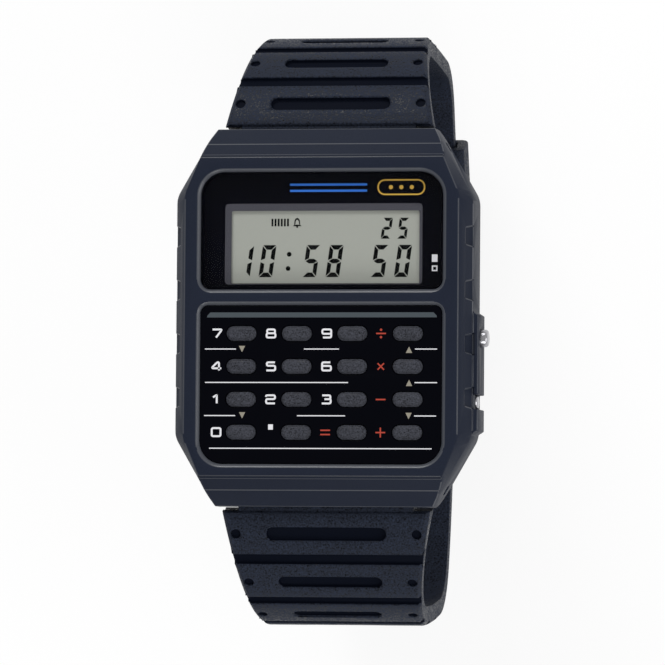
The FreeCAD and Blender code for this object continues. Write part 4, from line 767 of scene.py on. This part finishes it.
# Height of each printed rule with the ends of its stretches, and the square decimal point
RULE_HALF = 0.058
RULES = {-3.72: ((-13.39, -9.79), (-1.92, 2.12), (10.87, 13.39)),
         -7.53: ((-13.35, 3.19), (10.84, 13.42)),
         -11.31: ((-13.43, -9.83), (-2.66, 2.88), (10.81, 13.33)),
         -15.03: ((-12.81, 12.85),)}
DECIMAL_POINT = (-5.99, -12.9, -5.44, -12.3)
rules = [bar(x0, y - RULE_HALF, x1, y + RULE_HALF) for y, spans in RULES.items() for x0, x1 in spans]
rules.append(bar(*DECIMAL_POINT))
add_piece("printed_rules", flat_pieces(rules, panel_z, PRINT), white_print, "case")

ARROW_HALF = 0.36
# Centre of each arrow and the way that it points, 1 for up and -1 for down
ARROWS = ((-9.09, -3.72, -1), (10.18, -3.80, 1), (10.21, -7.56, 1), (-9.02, -11.28, -1),
          (10.18, -11.31, -1))
arrows = [[(x - ARROW_HALF, y - way * ARROW_HALF), (x + ARROW_HALF, y - way * ARROW_HALF),
           (x, y + way * ARROW_HALF)] for x, y, way in ARROWS]
dull_print = print_finish("dull_white_print", (0.27, 0.25, 0.20))
add_piece("printed_arrows", flat_pieces(arrows, panel_z, PRINT), dull_print, "case")

STRIP_COLOR = (0.052, 0.066, 0.077)
STRIP = [(-13.19, -0.12), (13.36, -0.12), (13.3, 0.1), (12.95, 0.45), (-12.8, 0.45), (-13.13, 0.1)]
strip_finish = finish_of("grey_strip", STRIP_COLOR, 0.4, spread=0.05, specular=0.3)
add_piece("grey_strip", flat_pieces([STRIP], panel_z, PRINT), strip_finish, "case")


# The sixteen keys are caps of textured dark rubber with a rounded rim.
# Each is moulded on its own, stands in its opening in the panel and moves by itself.
KEY_COLOR, KEY_EDGE = (0.037, 0.039, 0.049), 0.1 * MM
key_finish = finish_of("key_rubber", KEY_COLOR, 0.65, spread=3.6, scale=6500.0, depth=1.0,
                       specular=0.15)
for node in list(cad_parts):
    if node.startswith("key_") and node != "key_rubber_sheet":
        add_piece(f"{node}_cap", softened(node, KEY_EDGE, segments=3, angle=25.0), key_finish,
                  node, [node])


# The side buttons are turned and polished steel pins with a chamfered head.
# They slide in the case wall and are pushed out again by a small spring.
STEEL_COLOR, PIN_EDGE = (0.42, 0.42, 0.44), 0.08 * MM
steel = finish_of("polished_steel_finish", STEEL_COLOR, 0.24, metallic=1.0, spread=0.2,
                  scale=5000.0, depth=0.05)
for stem in ("mode", "adjust"):
    add_piece(f"{stem}_pin", softened(f"{stem}_button", PIN_EDGE), steel, f"{stem}_pusher",
              [f"{stem}_button"])


# The back plate is brushed stainless steel held by four small screws.
# The brushing runs along the watch; the screws have a single driver slot.
# The spring bars of the lugs and the buckle's pin are of the screws' plain steel.
PLATE_COLOR, PLATE_EDGE = (0.5, 0.5, 0.5), 0.08 * MM
SCREW_COLOR, SCREW_EDGE = (0.45, 0.45, 0.46), 0.06 * MM
ALONG_Y = (1, 0.02, 1)
brushed = finish_of("brushed_back", PLATE_COLOR, 0.32, metallic=1.0, spread=0.4, depth=0.3,
                    stretch=ALONG_Y)
add_piece("back_cover", softened("case_back", PLATE_EDGE), brushed, "case",
          ["case_back"])
screw_finish = finish_of("screw_steel", SCREW_COLOR, 0.3, metallic=1.0, spread=0.3)
add_piece("cover_screws", softened("back_screws", SCREW_EDGE), screw_finish, "case",
          ["back_screws"])
for node in ("spring_bar_12", "spring_bar_6", "buckle_bar"):
    dress(node, screw_finish)


# Both strap halves are moulded in one piece each from a soft blue-black resin.
# Slots and grooves cross the outside in turn; the moulding leaves every edge slightly round.
STRAP_COLOR = (0.0150, 0.0190, 0.0310)
# Painted shade: the slots, grooves and dimples get this darker, less shiny copy of the strap resin.
HOLLOW_SHADE_COLOR = (0.0030, 0.0044, 0.0098)
strap_finish = finish_of("strap_resin_finish", STRAP_COLOR, 0.6, spread=3.6, scale=5000.0,
                         depth=1.0, specular=0.09)
hollow_shade_finish = finish_of("strap_hollow_painted_shade", HOLLOW_SHADE_COLOR, 0.6, spread=0.3, scale=7000.0,
                          depth=0.3, specular=0.03)
EYE_RADIUS = 1.75
BAR_Y, BAR_Z = 19.6, 2.6
# Each strap half as slope at the bar and spans of length and turn, along its outer face
UPPER_SPANS = (14.0, ((1.5, 0), (21.09, 76), (17.0, 5)))
LOWER_SPANS = (7.0, ((2.2, 0), (21.58, 83), (15.0, 7)))
LINE_STEP = 0.1


def outer_line(slope, spans, side):
    """Points along a strap's outer face, each with the inward direction and the length so far."""
    angle = math.radians(slope)
    y, z, run = BAR_Y + EYE_RADIUS * math.sin(angle), BAR_Z + EYE_RADIUS * math.cos(angle), 0.0
    rows = []
    for length, turn in spans:
        steps = max(1, round(length / LINE_STEP))
        for _ in range(steps):
            angle += math.radians(turn) / steps
            y += math.cos(angle) * length / steps
            z -= math.sin(angle) * length / steps
            run += length / steps
            rows.append((side * y, z, -side * math.sin(angle), -math.cos(angle), run))
    return np.array(rows)


END_HALF, FLARE_HALF, FLARE_LENGTH, FLARE_POWER = 8.4, 4.1, 17.7, 1.08
HOLLOW_SHALLOW, HOLLOW_DEEP, HOLLOW_SIDE = 0.14, 0.9, 0.5
FIRST_HOLLOW, UPPER_LAST, LOWER_LAST = 4.0, 32.0, 38.3
HOLLOW_SHADE_PLACE = 1


def mark_hollow_shade(mesh, line, last):
    """Give painted shade, a darker and less shiny copy of the strap resin, to faces in the slots,
    grooves and dimples up to the last one.
    """
    for face in mesh.polygons:
        x, y, z = (value / MM for value in face.center)
        near = line[np.argmin((line[:, 0] - y) ** 2 + (line[:, 1] - z) ** 2)]
        depth = (y - near[0]) * near[2] + (z - near[1]) * near[3]
        half = END_HALF + FLARE_HALF * math.exp(-(near[4] / FLARE_LENGTH) ** FLARE_POWER)
        is_hollow = HOLLOW_SHALLOW < depth < HOLLOW_DEEP and abs(x) < half - HOLLOW_SIDE
        if is_hollow and FIRST_HOLLOW < near[4] < last:
            face.material_index = HOLLOW_SHADE_PLACE


STRAP_EDGE = 0.24 * MM
SLOT_HALF = 7.1 * MM
SIDE_SHARE = 0.3


def strap_share(middle):
    """Full rounding in the middle of the strap, less along its sides."""
    return 1.0 if abs(middle.x) < SLOT_HALF else SIDE_SHARE


for node, body, (slope, spans), side, last in (
        ("strap_12", "strap_upper", UPPER_SPANS, 1, UPPER_LAST),
        ("strap_6", "strap_lower", LOWER_SPANS, -1, LOWER_LAST)):
    strap_mesh = softened(node, STRAP_EDGE, segments=3, angle=25.0, share=strap_share)
    add_piece(f"{node}_moulding", strap_mesh, strap_finish, body, [node])
    strap_mesh.materials.append(hollow_shade_finish)
    mark_hollow_shade(strap_mesh, outer_line(slope, spans, side), last)


# The keeper, the buckle frame and the tang finish the strap's end.
# Keeper and frame are resin, the tang is a bent steel strip that turns on the same pin.
KEEPER_EDGE, BUCKLE_EDGE, TANG_EDGE = 0.25 * MM, 0.2 * MM, 0.12 * MM
add_piece("keeper_loop", softened("keeper", KEEPER_EDGE, segments=3), strap_finish, "strap_keeper",
          ["keeper"])
add_piece("buckle_moulding", softened("buckle_frame", BUCKLE_EDGE, segments=3), resin, "buckle",
          ["buckle_frame"])
add_piece("tang_strip", softened("tang", TANG_EDGE), steel, "buckle_tang", ["tang"])


# Floor, light and camera. The floor is matt white and level under the standing strap.
# Three large soft lamps and a pale sky light the watch; the camera looks at the dial.
FLOOR_HALF = 1.5
FLOOR_GAP = 0.1 * MM
FLOOR_COLOR, FLOOR_ROUGHNESS = (0.93, 0.93, 0.93, 1), 0.9
FLOOR_WHITE = 0.85


def seen_rays(nodes, link, share):
    """A socket that is share for camera, glossy and transmission rays, and 0 for others."""
    rays = nodes.new("ShaderNodeLightPath")
    total = rays.outputs["Is Camera Ray"]
    for label in ("Is Glossy Ray", "Is Transmission Ray"):
        larger = nodes.new("ShaderNodeMath")
        larger.operation = "MAXIMUM"
        link(total, larger.inputs[0])
        link(rays.outputs[label], larger.inputs[1])
        total = larger.outputs[0]
    scaled = nodes.new("ShaderNodeMath")
    scaled.operation = "MULTIPLY"
    link(total, scaled.inputs[0])
    scaled.inputs[1].default_value = share
    return scaled.outputs[0]


def make_floor():
    """A matt white floor that the camera sees nearly white and with a faint shadow."""
    half = FLOOR_HALF
    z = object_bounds()[0].z - FLOOR_GAP
    mesh = bpy.data.meshes.new("floor")
    mesh.from_pydata([(-half, -half, z), (half, -half, z), (half, half, z), (-half, half, z)],
                     [], [(0, 1, 2, 3)])
    floor = bpy.data.objects.new("floor", mesh)
    bpy.context.collection.objects.link(floor)
    material = bpy.data.materials.new("floor_white")
    material.use_nodes = True
    nodes, link = material.node_tree.nodes, material.node_tree.links.new
    shader = nodes["Principled BSDF"]
    shader.inputs["Base Color"].default_value = FLOOR_COLOR
    shader.inputs["Roughness"].default_value = FLOOR_ROUGHNESS
    glow, mix = nodes.new("ShaderNodeEmission"), nodes.new("ShaderNodeMixShader")
    link(seen_rays(nodes, link, FLOOR_WHITE), mix.inputs["Fac"])
    link(shader.outputs["BSDF"], mix.inputs[1])
    link(glow.outputs["Emission"], mix.inputs[2])
    link(mix.outputs["Shader"], nodes["Material Output"].inputs["Surface"])
    mesh.materials.append(material)


make_floor()

SKY_STRENGTH = 0.55
scene = bpy.context.scene
world = bpy.data.worlds.new("sky")
scene.world = world
world.use_nodes = True
sky = world.node_tree.nodes["Background"]
sky.inputs["Color"].default_value = (1, 1, 1, 1)
sky.inputs["Strength"].default_value = SKY_STRENGTH


def lamp(name, place, power, width):
    """A square lamp that shines at the origin."""
    light = bpy.data.lights.new(name, "AREA")
    light.energy = power
    light.size = width
    item = bpy.data.objects.new(name, light)
    bpy.context.collection.objects.link(item)
    item.location = place
    item.rotation_mode = "QUATERNION"
    item.rotation_quaternion = (-Vector(place)).to_track_quat("-Z", "Y")


lamp("key_lamp", (-0.2, 0.75, 0.5), power=4.5, width=0.35)
lamp("fill_lamp", (0.65, -0.2, 0.4), power=2.0, width=0.5)
lamp("low_lamp", (0.1, -0.75, 0.5), power=2.0, width=0.35)

VIEW_RIGHT, VIEW_DOWN, ROLL = math.radians(10.0), math.radians(2.8), math.radians(0.45)
VIEW_DISTANCE, CLIP_START = 685 * MM, 10 * MM
PIXELS_PER_MM = 8.8
PICTURE = 665
FACE_CENTRE = Vector((0, 0, CASE_TOP))
FACE_PIXEL = (320.4, 316.2)
SENSOR = 36.0
camera_data = bpy.data.cameras.new("camera")
camera = bpy.data.objects.new("camera", camera_data)
bpy.context.collection.objects.link(camera)
scene.camera = camera
back = Vector((math.sin(VIEW_RIGHT) * math.cos(VIEW_DOWN), -math.sin(VIEW_DOWN),
               math.cos(VIEW_RIGHT) * math.cos(VIEW_DOWN)))
right = Vector((0, 1, 0)).cross(back).normalized()
up = back.cross(right)
turn = Matrix.Rotation(ROLL, 3, "Z")
camera.matrix_world = Matrix.Translation(FACE_CENTRE + back * VIEW_DISTANCE) @ (
    Matrix((right, up, back)).transposed() @ turn).to_4x4()
camera_data.sensor_width = SENSOR
camera_data.lens = PIXELS_PER_MM * VIEW_DISTANCE / MM / PICTURE * SENSOR
camera_data.shift_x = (PICTURE / 2 - FACE_PIXEL[0]) / PICTURE
camera_data.shift_y = -(PICTURE / 2 - FACE_PIXEL[1]) / PICTURE
camera_data.clip_start = CLIP_START
scene.view_settings.view_transform = "Standard"
